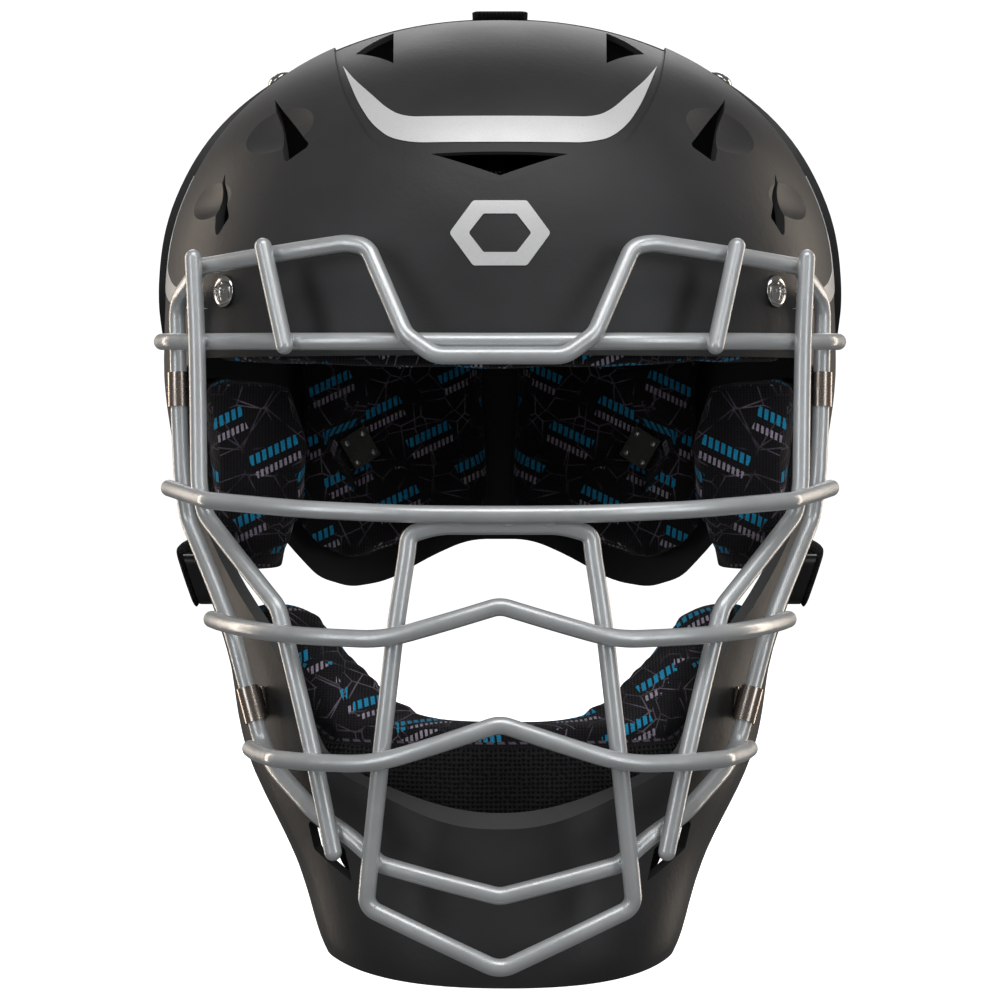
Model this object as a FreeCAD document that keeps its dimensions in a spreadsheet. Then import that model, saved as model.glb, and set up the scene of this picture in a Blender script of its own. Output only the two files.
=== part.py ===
import FreeCAD, Part
import Sketcher
import math
import os

# Catcher's helmet with a welded wire cage. Millimetres, +Z up, the face looks along -Y, +X to the right.
# The origin is the middle of the wearer's head on the line of sight.

V = FreeCAD.Vector
doc = FreeCAD.newDocument("catchers_helmet")

# ---------------------------------------------------------------- driving dimensions
DIMENSIONS = {
    "dome_half_width": 121.5,     # the dome's semi-axes about its widest ring
    "dome_height": 105.0,
    "dome_front": 119.0,
    "dome_rear": 125.0,
    "dome_base": 45.0,            # height of the widest ring
    "dome_back_shift": 5.0,
    "shell_wall": 3.5,
    "panel_depth": 1.5,           # sunk crown panel and the scoops round the vents
    "plate_gap": 0.9,             # back plate over the front shell
    "plate_wall": 2.8,
    "wire_diameter": 5.8,
    "wire_wall": 1.2,
    "weld_pitch": 5.7,            # centre distance of two welded wires
    "clip_wall": 0.9,
    "clip_length": 12.0,
    "brow_screw_head": 11.5,
    "crown_screw_head": 9.0,
    "screw_shank": 3.6,
    "clip_screw_head": 6.4,
    "clip_screw_shank": 3.0,
    "nut_flange": 11.0,
    "clip_nut_flange": 8.0,
    "decal_thickness": 0.25,
    "decal_gap": 0.05,            # room for glue, so a film never cuts into the shell
    "strap_width": 21.0,
    "strap_thickness": 1.8,
    "pad_gap": 0.5,
    "brow_pad_thickness": 16.0,
    "cheek_pad_thickness": 27.0,
    "crown_pad_thickness": 13.0,
    "rear_pad_thickness": 14.0,
    "chin_pad_thickness": 20.0,
    "chin_pad_setback": 9.0,
}

sheet = doc.addObject("Spreadsheet::Sheet", "dims")
for row, (alias, value) in enumerate(DIMENSIONS.items(), start=1):
    sheet.set("A%d" % row, alias)
    sheet.set("B%d" % row, str(value))
    sheet.setAlias("B%d" % row, alias)
doc.recompute()


def dim(alias):
    return float(getattr(sheet, alias))


# ---------------------------------------------------------------- the helmet's outer form
# Below the widest ring the form narrows to the jaw and chin.
# Each row: height, half width, y of the widest point, y of the front, y of the rear.
JAW_ROWS = [
    (25.0, 122.0, 5.0, -116.0, 129.0),
    (0.0, 119.5, 4.0, -118.0, 126.0),
    (-30.0, 113.5, 0.0, -120.0, 120.0),
    (-65.0, 102.5, -10.0, -122.0, 110.0),
    (-95.0, 94.0, -25.0, -123.5, 95.0),
    (-127.0, 82.5, -45.0, -125.0, 60.0),
    (-158.0, 67.0, -65.0, -125.5, 20.0),
    (-192.0, 44.0, -80.0, -121.0, -20.0),
]
FORM_POWER = 2.15
DOME_LEVELS = 9
SECTION_POINTS = 32


def dome_row(height, offset):
    """Half width, middle y, front depth and rear depth of the dome at a height above its base."""
    rise = dim("dome_height") + offset
    level = (height - dim("dome_base")) / rise
    shrink = max(0.0, 1.0 - level ** FORM_POWER) ** (1.0 / FORM_POWER)
    return ((dim("dome_half_width") + offset) * shrink, dim("dome_back_shift"),
            (dim("dome_front") + offset) * shrink, (dim("dome_rear") + offset) * shrink)


def form_row(height, offset=0.0):
    """Half width, middle y, front depth and rear depth of the form at any height."""
    if height >= dim("dome_base"):
        return dome_row(height, offset)
    base = dome_row(dim("dome_base"), 0.0)
    rows = [(dim("dome_base"), base[0], base[1], base[1] - base[2], base[1] + base[3])] + JAW_ROWS
    for upper, lower in zip(rows, rows[1:]):
        if height >= lower[0]:
            break
    part = (upper[0] - height) / (upper[0] - lower[0])
    width, middle, front, rear = [a + (b - a) * part for a, b in zip(upper[1:], lower[1:])]
    return width + offset, middle, middle - front + offset, rear - middle + offset


def form_y(x, height, offset=0.0, rear=False):
    """The y of the form's surface, at the front or the rear, at a place in the front view."""
    width, middle, front_depth, rear_depth = form_row(height, offset)
    reach = max(0.0, 1.0 - (abs(x) / width) ** FORM_POWER) ** (1.0 / FORM_POWER)
    if rear:
        return middle + rear_depth * reach
    return middle - front_depth * reach


def form_x(y, height, offset=0.0):
    """The half width of the form at a given y and height."""
    width, middle, front_depth, rear_depth = form_row(height, offset)
    depth = front_depth if y < middle else rear_depth
    return width * max(0.0, 1.0 - (abs(y - middle) / depth) ** FORM_POWER) ** (1.0 / FORM_POWER)


def form_level(point):
    width, middle, front_depth, rear_depth = form_row(point.z)
    depth = front_depth if point.y < middle else rear_depth
    return (abs(point.x) / width) ** FORM_POWER + (abs(point.y - middle) / depth) ** FORM_POWER


def form_normal(point):
    """The outward unit normal of the form near a point on its surface."""
    step = 0.5
    slopes = []
    for axis in (V(step, 0, 0), V(0, step, 0), V(0, 0, step)):
        slopes.append(form_level(point + axis) - form_level(point - axis))
    normal = V(*slopes)
    normal.normalize()
    return normal


def section_wire(height, offset):
    width, middle, front_depth, rear_depth = form_row(height, offset)
    points = []
    for index in range(SECTION_POINTS):
        angle = 2.0 * math.pi * index / SECTION_POINTS
        across, along = math.cos(angle), math.sin(angle)
        x = width * math.copysign(abs(across) ** (2.0 / FORM_POWER), across)
        depth = rear_depth if along > 0 else front_depth
        y = middle + depth * math.copysign(abs(along) ** (2.0 / FORM_POWER), along)
        points.append(V(x, y, height))
    curve = Part.BSplineCurve()
    curve.interpolate(Points=points, PeriodicFlag=True)
    return Part.Wire([curve.toShape()])


def form_solid(name, offset):
    """The whole closed form, grown or shrunk by an offset, as one lofted solid."""
    wires = [section_wire(row[0], offset) for row in reversed(JAW_ROWS)]
    rise = dim("dome_height") + offset
    for index in range(DOME_LEVELS):
        angle = 0.5 * math.pi * index / DOME_LEVELS
        wires.append(section_wire(dim("dome_base") + rise * math.sin(angle) ** (2.0 / FORM_POWER), offset))
    crown = Part.Vertex(V(0, dim("dome_back_shift"), dim("dome_base") + rise))
    feature = doc.addObject("Part::Feature", name)
    feature.Shape = Part.makeLoft(wires + [crown], True, False)
    return feature


forms = {}


def form(offset):
    """The form at an offset, made once and shared by every piece that follows it."""
    key = round(offset, 3)
    if key not in forms:
        forms[key] = form_solid("form_%d" % len(forms), key)
    return forms[key]


# ---------------------------------------------------------------- helpers for pieces cut from the form
PLANES = {
    "front": FreeCAD.Rotation(V(1, 0, 0), V(0, 0, 1), V(0, -1, 0), "ZXY"),
    "side": FreeCAD.Rotation(V(0, 1, 0), V(0, 0, 1), V(1, 0, 0), "ZXY"),
    "top": FreeCAD.Rotation(V(1, 0, 0), V(0, 1, 0), V(0, 0, 1), "ZXY"),
}


STRAIGHT_TURN = math.radians(0.3)     # a smaller turn is no bend
LONG_TURN = math.radians(25)          # a smaller turn takes the largest arc that fits
TIP_TURN = math.radians(128)          # a larger turn stays a sharp tip
RUN_SHARE = 0.45                      # the most of a run that one arc may take
SHORTEST_RUN = 1e-4


def bend_at(before, here, after, radius):
    """Where the arc round a corner starts and ends, and its summit, which is None at a plain corner."""
    back, ahead = before - here, after - here
    shorter = min(back.Length, ahead.Length)
    back.normalize()
    ahead.normalize()
    turn = math.pi - back.getAngle(ahead)
    if turn < STRAIGHT_TURN or turn > TIP_TURN:
        return here, here, None
    tangent = RUN_SHARE * shorter
    if turn > LONG_TURN:
        tangent = min(tangent, radius * math.tan(turn / 2))
    arc_radius = tangent / math.tan(turn / 2)
    inward = back + ahead
    inward.normalize()
    summit = here + inward * (arc_radius / math.cos(turn / 2) - arc_radius)
    return here + back * tangent, here + ahead * tangent, summit


def bent_line(route, radius, closed=False):
    """Straight runs joined by tangent arcs, as curves in order."""
    count = len(route)
    bends = []
    for index, here in enumerate(route):
        if not closed and index in (0, count - 1):
            bends.append((here, here, None))
        else:
            bends.append(bend_at(route[index - 1], here, route[(index + 1) % count], radius))
    curves = []
    for index, (enter, leave, summit) in enumerate(bends):
        if summit is not None:
            curves.append(Part.Arc(enter, summit, leave))
        following = bends[(index + 1) % count][0]
        if (index < count - 1 or closed) and (following - leave).Length > SHORTEST_RUN:
            curves.append(Part.LineSegment(leave, following))
    return curves


def shared_ends(sketch, first, second):
    """Which end of each of two edges lies where the edges meet."""
    return min(((one, two) for one in (1, 2) for two in (1, 2)),
               key=lambda ends: (sketch.getPoint(first, ends[0]) - sketch.getPoint(second, ends[1])).Length)


def draw_closed(sketch, points, rounding=0.0):
    """Straight edges round a list of corners, each joined to the next, with arcs at rounded corners."""
    corners = [V(x, y, 0) for x, y in points]
    if rounding:
        curves = bent_line(corners, rounding, True)
    else:
        curves = [Part.LineSegment(start, end) for start, end in zip(corners, corners[1:] + corners[:1])]
    for curve in curves:
        sketch.addGeometry(curve, False)
    for index in range(len(curves)):
        following = (index + 1) % len(curves)
        ends = shared_ends(sketch, index, following)
        sketch.addConstraint(Sketcher.Constraint("Coincident", index, ends[0], following, ends[1]))


def outline(name, plane, points, rounding):
    """A closed sketch in a front (x, z), side (y, z) or top (x, y) view."""
    sketch = doc.addObject("Sketcher::SketchObject", name)
    sketch.Placement = FreeCAD.Placement(V(0, 0, 0), PLANES[plane])
    draw_closed(sketch, points, rounding)
    return sketch


def prism(name, plane, points, low, high, rounding=0.0):
    """The outline extruded from one level to another along its plane's normal."""
    sketch = outline(name + "_outline", plane, points, rounding)
    normal = PLANES[plane].multVec(V(0, 0, 1))
    extrusion = doc.addObject("Part::Extrusion", name)
    extrusion.Base = sketch
    extrusion.DirMode = "Custom"
    extrusion.Dir = normal
    extrusion.LengthFwd = high
    extrusion.LengthRev = -low
    extrusion.Solid = True
    return extrusion


def cut(name, base, tool):
    feature = doc.addObject("Part::Cut", name)
    feature.Base, feature.Tool = base, tool
    feature.Refine = False
    return feature


def group(name, shapes):
    feature = doc.addObject("Part::Compound", name)
    feature.Links = shapes
    return feature


def cut_group(name, base, tools):
    """One cut by several tools that lie clear of each other."""
    return cut(name, base, group(name + "_tools", tools))


def fuse(name, shapes):
    feature = doc.addObject("Part::MultiFuse", name)
    feature.Shapes = shapes
    feature.Refine = False
    return feature


def common(name, shapes):
    feature = doc.addObject("Part::MultiCommon", name)
    feature.Shapes = shapes
    feature.Refine = False
    return feature


def mirror_image(name, feature):
    """The right-hand twin of a left-hand piece."""
    twin = doc.addObject("Part::Mirroring", name)
    twin.Source = feature
    twin.Base = V(0, 0, 0)
    twin.Normal = V(1, 0, 0)
    return twin


def layer(name, outer, inner, region):
    """The part of the layer between two offsets of the form that lies in a region."""
    return cut(name, common(name + "_block", [form(outer), region]), form(inner))


parts = {}


def keep(node, feature):
    feature.Label = node
    parts[node] = feature
    return feature


def keep_pair(name, feature):
    """A left-hand piece and its mirror image, as two nodes."""
    keep("left_" + name, feature)
    keep("right_" + name, mirror_image("right_" + name, feature))


def aim(origin, along_z, along_x=None):
    """A placement with its Z along one direction and its X as near as can be to another."""
    if along_x is None:
        return FreeCAD.Placement(origin, FreeCAD.Rotation(V(0, 0, 1), along_z))
    return FreeCAD.Placement(origin, FreeCAD.Rotation(along_x, V(0, 0, 0), along_z, "ZXY"))


def surface_point(x, height):
    return V(x, form_y(x, height), height)


# ---------------------------------------------------------------- front shell
FACE_OPENING = [(-200, 25), (-54, 25), (-49, 12), (-48, -26), (-66, -50), (-86, -74), (-95, -95),
                (-101, -108), (-118, -122), (-126, -134), (-200, -160)]
SHELL_REAR = [(42, 200), (38, 120), (36, 40), (40, 10), (38, -36), (20, -58), (-14, -88), (-36, -132),
              (-57, -168), (-72, -178), (-92, -179), (-130, -186.5), (-200, -187), (-200, -260), (300, -260),
              (300, 200)]
EAR_OPENING = [(-14, 6), (-4, 14), (14, 14), (22, 4), (22, -20), (12, -34), (-2, -34), (-14, -18)]
CROWN_PANEL = [(-66, 170), (-58, 130), (-54, 115), (-43.5, 97), (0, 83), (43.5, 97), (54, 115), (58, 130),
               (66, 170)]
CENTRE_VENT = [(-23.5, 94), (23, 94), (0, 86.3)]
SIDE_VENT = [(-79, 116), (-65, 97.5), (-73.8, 91.5), (-75.8, 103)]
LOW_VENT = [(-96, 89.5), (-93.4, 73.5), (-98.5, 66), (-98.8, 74)]
TOP_VENT = [(-38, -24), (-37, -63), (-51, -43)]
CHIN_VENT = [(-65.5, -131.5), (-63.5, -142), (-50, -151.5), (-52.5, -140.5)]
VENT_ROUNDING = 1.6
AHEAD_OF_FACE = 160.0


def mirrored(points):
    return [(-x, y) for x, y in reversed(points)]


def vent(name, points, spread=1.0, depth=30.0, lift=12.0):
    """A hole square to the form's surface, drawn in the front view and spread about its middle."""
    corners = [surface_point(x, height) for x, height in points]
    middle = sum(corners, V(0, 0, 0)) * (1.0 / len(corners))
    normal = form_normal(middle)
    ring = []
    for corner in corners:
        flat = corner - middle
        flat = flat - normal * flat.dot(normal)
        ring.append(middle + flat * spread - normal * depth)
    feature = doc.addObject("Part::Feature", name)
    rim = Part.Wire([curve.toShape() for curve in bent_line(ring, VENT_ROUNDING, True)])
    feature.Shape = Part.Face(rim).extrude(normal * (depth + lift))
    return feature


def scoop(name, centre, radii, tilt, sink):
    """A smooth hollow: an ellipsoid whose flank dips into the form at a point of the front view."""
    middle = surface_point(*centre)
    normal = form_normal(middle)
    ball = doc.addObject("Part::Ellipsoid", name)
    ball.Radius1, ball.Radius2, ball.Radius3 = radii
    ball.Angle1, ball.Angle2, ball.Angle3 = -90, 90, 360
    along = V(math.cos(tilt), 0, math.sin(tilt))
    ball.Placement = aim(middle + normal * (radii[0] - sink), normal, along)
    return ball


wall = dim("shell_wall")
sunk = dim("panel_depth")
panel_region = prism("crown_panel_region", "front", CROWN_PANEL, -50, AHEAD_OF_FACE, 14)
panel_cutter = cut("crown_panel_cutter", panel_region, form(-sunk))
rear_cutter = prism("rear_edge", "side", SHELL_REAR, -200, 200, 18)
face_cutter = prism("face_opening", "side", FACE_OPENING, -200, 200, 9)
openings = [
    prism("ear_openings", "side", EAR_OPENING, -200, 200, 12),
    vent("centre_vent", CENTRE_VENT),
    prism("top_vent_left", "top", TOP_VENT, 90, 200, VENT_ROUNDING),
    prism("top_vent_right", "top", mirrored(TOP_VENT), 90, 200, VENT_ROUNDING),
]
scoops = []
for side, points_of, sign in (("left", list, -1), ("right", mirrored, 1)):
    openings.append(vent("side_vent_" + side, points_of(SIDE_VENT)))
    openings.append(vent("low_vent_" + side, points_of(LOW_VENT)))
    openings.append(vent("chin_vent_" + side, points_of(CHIN_VENT)))
    scoops.append(scoop("side_scoop_" + side, (sign * 77, 104), (22, 26, 50), math.pi / 2 - sign * 0.1, 2.3))
    scoops.append(scoop("low_scoop_" + side, (sign * 101, 80), (18, 16, 40), math.pi / 2 - sign * 0.1, 1.9))


# ---------------------------------------------------------------- screws and nuts
def origin_plane(body, role):
    return [feature for feature in body.Origin.OriginFeatures if feature.Role == role][0]


def turned_body(name, profile, bindings):
    """A PartDesign body turned about Z from a half profile of (radius, height) corners."""
    body = doc.addObject("PartDesign::Body", name)
    sketch = body.newObject("Sketcher::SketchObject", name + "_profile")
    sketch.AttachmentSupport = [(origin_plane(body, "XZ_Plane"), "")]
    sketch.MapMode = "FlatFace"
    draw_closed(sketch, profile)
    for corner, expression in bindings.items():
        bound = sketch.addConstraint(Sketcher.Constraint("DistanceX", -1, 1, corner, 1, profile[corner][0]))
        sketch.setExpression("Constraints[%d]" % bound, expression)
    turned = body.newObject("PartDesign::Revolution", name + "_turned")
    turned.Profile = sketch
    turned.ReferenceAxis = (sketch, ["V_Axis"])
    turned.Angle = 360
    return body


HEAD_RISE = 2.2


def screw_body(name, head, shank, length, rise=HEAD_RISE):
    """A domed screw: z 0 is under the head, and the shank runs down from there."""
    head_radius, shank_radius = dim(head) / 2, dim(shank) / 2
    profile = [(0, -length), (shank_radius, -length), (shank_radius, 0), (head_radius, 0),
               (head_radius * 0.94, rise * 0.35), (head_radius * 0.74, rise * 0.75),
               (head_radius * 0.4, rise * 0.97), (0, rise)]
    body = turned_body(name, profile, {1: "dims.%s / 2" % shank, 3: "dims.%s / 2" % head})
    cross = body.newObject("Sketcher::SketchObject", name + "_cross")
    cross.AttachmentSupport = [(origin_plane(body, "XY_Plane"), "")]
    cross.MapMode = "FlatFace"
    cross.AttachmentOffset = FreeCAD.Placement(V(0, 0, rise + 1), FreeCAD.Rotation())
    arm, half = head_radius * 0.52, head_radius * 0.11
    draw_closed(cross, [(-arm, -half), (-half, -half), (-half, -arm), (half, -arm), (half, -half),
                        (arm, -half), (arm, half), (half, half), (half, arm), (-half, arm),
                        (-half, half), (-arm, half)])
    doc.recompute()
    drive = body.newObject("PartDesign::Pocket", name + "_drive")
    drive.Profile = cross
    drive.Length = 1 + rise * 0.75
    drive.Reversed = False
    return body


def nut_body(name, flange, shank, length):
    """A barrel nut with a flange at z 0 and its barrel rising through the wall."""
    bore = dim(shank) / 2 + 0.05
    profile = [(bore, -1.2), (dim(flange) / 2, -1.2), (dim(flange) / 2, 0), (bore + 1.0, 0),
               (bore + 1.0, length), (bore, length)]
    return turned_body(name, profile, {0: "dims.%s / 2 + 0.05" % shank, 1: "dims.%s / 2" % flange})


def placed_copies(name, body, placements):
    """One node that holds the same fastener at several places."""
    links = []
    for index, placement in enumerate(placements):
        copy = doc.addObject("Part::Feature", "%s_%d" % (name, index))
        copy.Shape = body.Shape.copy()
        copy.Placement = placement
        links.append(copy)
    return group(name, links)


def drill(name, placement, radius, length=14.0):
    hole = doc.addObject("Part::Cylinder", name)
    hole.Radius = radius
    hole.Height = length
    hole.Placement = placement.multiply(FreeCAD.Placement(V(0, 0, -length / 2), FreeCAD.Rotation()))
    return hole


def seat_on_form(point):
    """The point of the form's solid nearest to a point of the formula, and the outward normal there."""
    outside = point + form_normal(point) * 10.0
    seat = form(0).Shape.distToShape(Part.Vertex(outside))[1][0][0]
    normal = outside - seat
    normal.normalize()
    return seat, normal


def on_surface(point, lift=0.0):
    """A placement on the form's surface with Z outward."""
    seat, normal = seat_on_form(point)
    return aim(seat + normal * lift, normal, V(0, 0, 1))


def both_sides(points):
    return [V(sign * point.x, point.y, point.z) for point in points for sign in (1, -1)]


CROWN_SCREW_HEIGHT = 127.0
CROWN_SCREW_Y = -2.0
SEAT_GAP = 0.12
brow_points = both_sides([surface_point(95.0, 48.0)])
crown_points = both_sides([V(form_x(CROWN_SCREW_Y, CROWN_SCREW_HEIGHT), CROWN_SCREW_Y, CROWN_SCREW_HEIGHT)])
shell_screw_points = brow_points + crown_points
brow_screw = screw_body("brow_screw", "brow_screw_head", "screw_shank", 7.0)
crown_screw = screw_body("crown_screw", "crown_screw_head", "screw_shank", 7.0)
shell_nut = nut_body("shell_nut", "nut_flange", "screw_shank", 3.0)
clip_screw = screw_body("clip_screw", "clip_screw_head", "clip_screw_shank", 6.5, 1.8)
clip_nut = nut_body("clip_nut", "clip_nut_flange", "clip_screw_shank", 3.0)
doc.recompute()
nut_drop = wall + 0.5


# ---------------------------------------------------------------- wire cage
# Each row of the cage's basic surface: height, half width, y at the side, y in the middle.
CAGE_ROWS = [(80, 115.5, -24, -118), (45, 115.5, -26, -126), (0, 114.5, -28, -134), (-22, 113, -32, -140),
             (-65, 93.5, -54, -149), (-105, 83, -72, -152), (-150, 74, -88, -147), (-190, 64, -90, -138)]
CAGE_POWER = 2.4
RUN_LENGTH = 26.0
BEND_RADIUS = 9.0


def cage_row(height):
    for upper, lower in zip(CAGE_ROWS, CAGE_ROWS[1:]):
        if height >= lower[0]:
            break
    part = (upper[0] - height) / (upper[0] - lower[0])
    return [a + (b - a) * part for a, b in zip(upper[1:], lower[1:])]


def cage_y(x, height):
    half, side, middle = cage_row(height)
    share = min(abs(x) / half, 0.9999)
    return side + (middle - side) * (1.0 - share ** CAGE_POWER) ** (1.0 / CAGE_POWER)


def cage_point(x, height, level):
    """A point of the cage's basic surface, moved outward by a number of wire thicknesses."""
    step = 0.2
    slope = (cage_y(abs(x), height) - cage_y(abs(x) - step, height)) / step if abs(x) > step else 0.0
    outward = V(math.copysign(slope, x), -1.0, 0)
    outward.normalize()
    return V(x, cage_y(x, height), height) + outward * (level * dim("weld_pitch"))


def wire_route(corners):
    """Route points over the cage surface, with long runs divided so that they follow its curve."""
    route = []
    for (x0, z0, level0), (x1, z1, level1) in zip(corners, corners[1:]):
        start, end = cage_point(x0, z0, level0), cage_point(x1, z1, level1)
        pieces = max(1, round((end - start).Length / RUN_LENGTH))
        for index in range(pieces):
            part = index / pieces
            route.append(cage_point(*[a + (b - a) * part for a, b in ((x0, x1), (z0, z1), (level0, level1))]))
    route.append(cage_point(*corners[-1]))
    return route


def rounded_path(route, closed=False):
    """The middle line of a bent wire."""
    return Part.Wire([curve.toShape() for curve in bent_line(route, BEND_RADIUS, closed)])


def swept(name, path, expression):
    spine = doc.addObject("Part::Feature", name + "_path")
    spine.Shape = path
    ring = doc.addObject("Part::Circle", name + "_ring")
    ring.setExpression("Radius", expression)
    first = path.Edges[0]
    start = first.valueAt(first.FirstParameter)
    ring.Placement = aim(start, first.tangentAt(first.FirstParameter))
    sweep = doc.addObject("Part::Sweep", name)
    sweep.Sections = [ring]
    sweep.Spine = (spine, ["Edge%d" % (index + 1) for index in range(len(path.Edges))])
    sweep.Solid = True
    sweep.Frenet = False
    return sweep


def trimmed(route, length):
    """The route with a length taken off each end."""
    first, last = route[1] - route[0], route[-2] - route[-1]
    first.normalize()
    last.normalize()
    return [route[0] + first * length] + route[1:-1] + [route[-1] + last * length]


def wire(name, route, closed=False):
    """A tube along a route, with round closed ends unless the route is a ring."""
    outer = swept(name + "_outer", rounded_path(route, closed), "dims.wire_diameter / 2")
    solids = [outer]
    inner_route = route if closed else trimmed(route, dim("wire_wall"))
    if not closed:
        for index, point in enumerate((route[0], route[-1])):
            ball = doc.addObject("Part::Sphere", "%s_end_%d" % (name, index))
            ball.setExpression("Radius", "dims.wire_diameter / 2")
            ball.Placement = aim(point, V(0, 0, 1))
            solids.append(ball)
        outer = fuse(name + "_solid", solids)
    inner_path = rounded_path(inner_route, closed)
    inner = swept(name + "_bore", inner_path, "dims.wire_diameter / 2 - dims.wire_wall")
    return keep(name, cut(name, outer, inner))


def mirror_corners(corners):
    """The left half of a route, ending at x 0, followed by its mirror image."""
    return corners + [(-x, z, level) for x, z, level in reversed(corners[:-1])]


# Corners of each wire: x, height, level over the basic surface. The left half, up to the middle.
FRAME_HALF = [(-21, 24.5, 0.95), (-30.5, 31.5, 0.95), (-44, 61, 0.1), (-51, 62.5, 0), (-77.5, 59, 0),
              (-102.5, 56, 0), (-112.8, 45, 0), (-112.2, 25, 0), (-111.6, 2.5, 0), (-110.2, -18, 0),
              (-107, -31, 0.2), (-94, -58, 0.3), (-88.8, -69.5, 0.35), (-85, -86, 0.2), (-80.5, -106, 0),
              (-75.5, -113, 0), (-60.3, -127, 0), (-50, -132.5, 0), (-39, -142, 0)]
BROW_HALF = [(-112, 30.7, 1), (-108, 30.5, 1), (-101, 30.1, 0), (-64.5, 29.5, 0), (0, 29.2, 0)]
EYE_HALF = [(-108.5, -20, 1), (-104, -21, 1), (-89, -23.5, 2), (-58.5, -26, 2), (-28.5, -27.3, 2),
            (0, -27.5, 2)]
NOSE_HALF = [(-90.7, -64.5, 1.35), (-87.2, -65, 1.35), (-68, -66.5, 2), (-57, -67.2, 2), (-34.5, -67.8, 2),
             (0, -56.7, 2)]
MOUTH_HALF = [(-78.3, -107, 1), (-75.6, -107.8, 1.1), (-65.4, -108, 2), (-56.3, -108.2, 2), (-37.3, -108, 2),
              (0, -94.5, 2)]
LOOP_HALF = [(-19.7, -31.2, 1), (-28.8, -34, 1), (-29.3, -40, 1), (-32.4, -62.5, 1), (-36.5, -103, 1),
             (-40.8, -147, 1), (-41.5, -155.5, 1)]
UPRIGHT = [(-100, 58.7, 1), (-98.3, 32.5, 1), (-96.8, -20, 1), (-94.2, -29, 1), (-69.4, -58.5, 1),
           (-66.5, -69.5, 1), (-58, -104, 1), (-51.5, -138, 1)]
STRUT = [(-76.4, 61.5, 1), (-69, 28, 1)]


def flip(corners):
    return [(-x, z, level) for x, z, level in corners]


def ring_route(half, top_middle, bottom_middle):
    """A closed symmetric route: middle top, down the left side, middle bottom, up the right side."""
    left = wire_route([top_middle] + half + [bottom_middle])
    right = [V(-point.x, point.y, point.z) for point in reversed(left[1:-1])]
    return left + right


wire("frame_wire", ring_route(FRAME_HALF, (0, 24.5, 0.95), (0, -152, 0)), closed=True)
wire("nose_loop_wire", ring_route(LOOP_HALF, (0, -31.2, 1), (0, -176, 1)), closed=True)
BARS = {"brow_bar": BROW_HALF, "eye_bar": EYE_HALF, "nose_bar": NOSE_HALF, "mouth_bar": MOUTH_HALF}
for node, half in BARS.items():
    wire(node, wire_route(mirror_corners(half)))
for side, side_of in (("left", list), ("right", flip)):
    wire(side + "_upright_wire", wire_route(side_of(UPRIGHT)))
    wire(side + "_strut_wire", wire_route(side_of(STRUT)))


# ---------------------------------------------------------------- cage clips
CLIP_HEIGHTS = {"upper": (14.0, -42.0), "lower": (-93.0, -77.0)}
CLIP_PAD = 10.0
CLIP_SHEET = 1.2
CLIP_SEAT = 0.4
HEAD_GAP = 0.1                # under a clip screw's head
LINK_END = 4.2                # from the middle of the pad to where the link meets it


def frame_point(height):
    """A point on the frame wire's left side at a height."""
    route = wire_route(FRAME_HALF)
    for upper, lower in zip(route, route[1:]):
        if upper.z >= height > lower.z:
            return upper + (lower - upper) * ((upper.z - height) / (upper.z - lower.z)), upper - lower
    raise ValueError("height is off the side of the frame wire")


def oriented_box(name, size, placement):
    """A box centred on its placement."""
    box = doc.addObject("Part::Box", name)
    box.Length, box.Width, box.Height = size
    box.Placement = placement.multiply(FreeCAD.Placement(V(*size) * -0.5, FreeCAD.Rotation()))
    return box


def across(point, sign):
    return V(sign * -point.x, point.y, point.z)


clip_screw_places = []
clip_nut_places = []
shell_holes = []
for level, (height, seat_y) in CLIP_HEIGHTS.items():
    rod_left, run_left = frame_point(height)
    run_left.normalize()
    seat_left = V(-form_x(seat_y, height), seat_y, height)
    for side, sign in (("left", -1), ("right", 1)):
        node = "%s_%s_clip" % (side, level)
        rod, run = across(rod_left, sign), across(run_left, sign)
        seat, normal = seat_on_form(across(seat_left, sign))
        pad_middle = seat + normal * (CLIP_SEAT + CLIP_SHEET / 2)
        sideways = normal.cross(run)
        sideways.normalize()
        link_end = min((pad_middle + sideways * way for way in (LINK_END, -LINK_END)),
                       key=lambda point: (point - rod).Length)
        reach = link_end - rod
        sleeve = doc.addObject("Part::Cylinder", node + "_sleeve")
        sleeve.setExpression("Radius", "dims.wire_diameter / 2 + dims.clip_wall")
        sleeve.setExpression("Height", "dims.clip_length")
        sleeve.Placement = aim(rod - run * (dim("clip_length") / 2), run)
        link_turn = FreeCAD.Rotation(reach, V(0, 0, 0), run, "XZY")
        link = oriented_box(node + "_link", (reach.Length, CLIP_SHEET, CLIP_PAD),
                            FreeCAD.Placement(rod + reach * 0.5, link_turn))
        pad_turn = FreeCAD.Rotation(V(0, 0, 0), run, normal, "ZYX")
        pad = oriented_box(node + "_pad", (CLIP_PAD, CLIP_PAD, CLIP_SHEET),
                           FreeCAD.Placement(pad_middle, pad_turn))
        bore = drill(node + "_bore", aim(rod, run), dim("wire_diameter") / 2 + 0.03, 30.0)
        seat_place = on_surface(seat, CLIP_SEAT + CLIP_SHEET + HEAD_GAP)
        hole = drill(node + "_hole", seat_place, dim("clip_screw_shank") / 2 + 0.15)
        keep(node, cut_group(node, fuse(node + "_body", [sleeve, link, pad]), [bore, hole]))
        clip_screw_places.append(seat_place)
        clip_nut_places.append(on_surface(seat, -nut_drop))
        shell_holes.append(drill(node + "_shell_hole", seat_place, dim("clip_screw_shank") / 2 + 1.2))

for index, point in enumerate(shell_screw_points):
    shell_holes.append(drill("shell_screw_hole_%d" % index, on_surface(point), dim("screw_shank") / 2 + 1.2))

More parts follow.
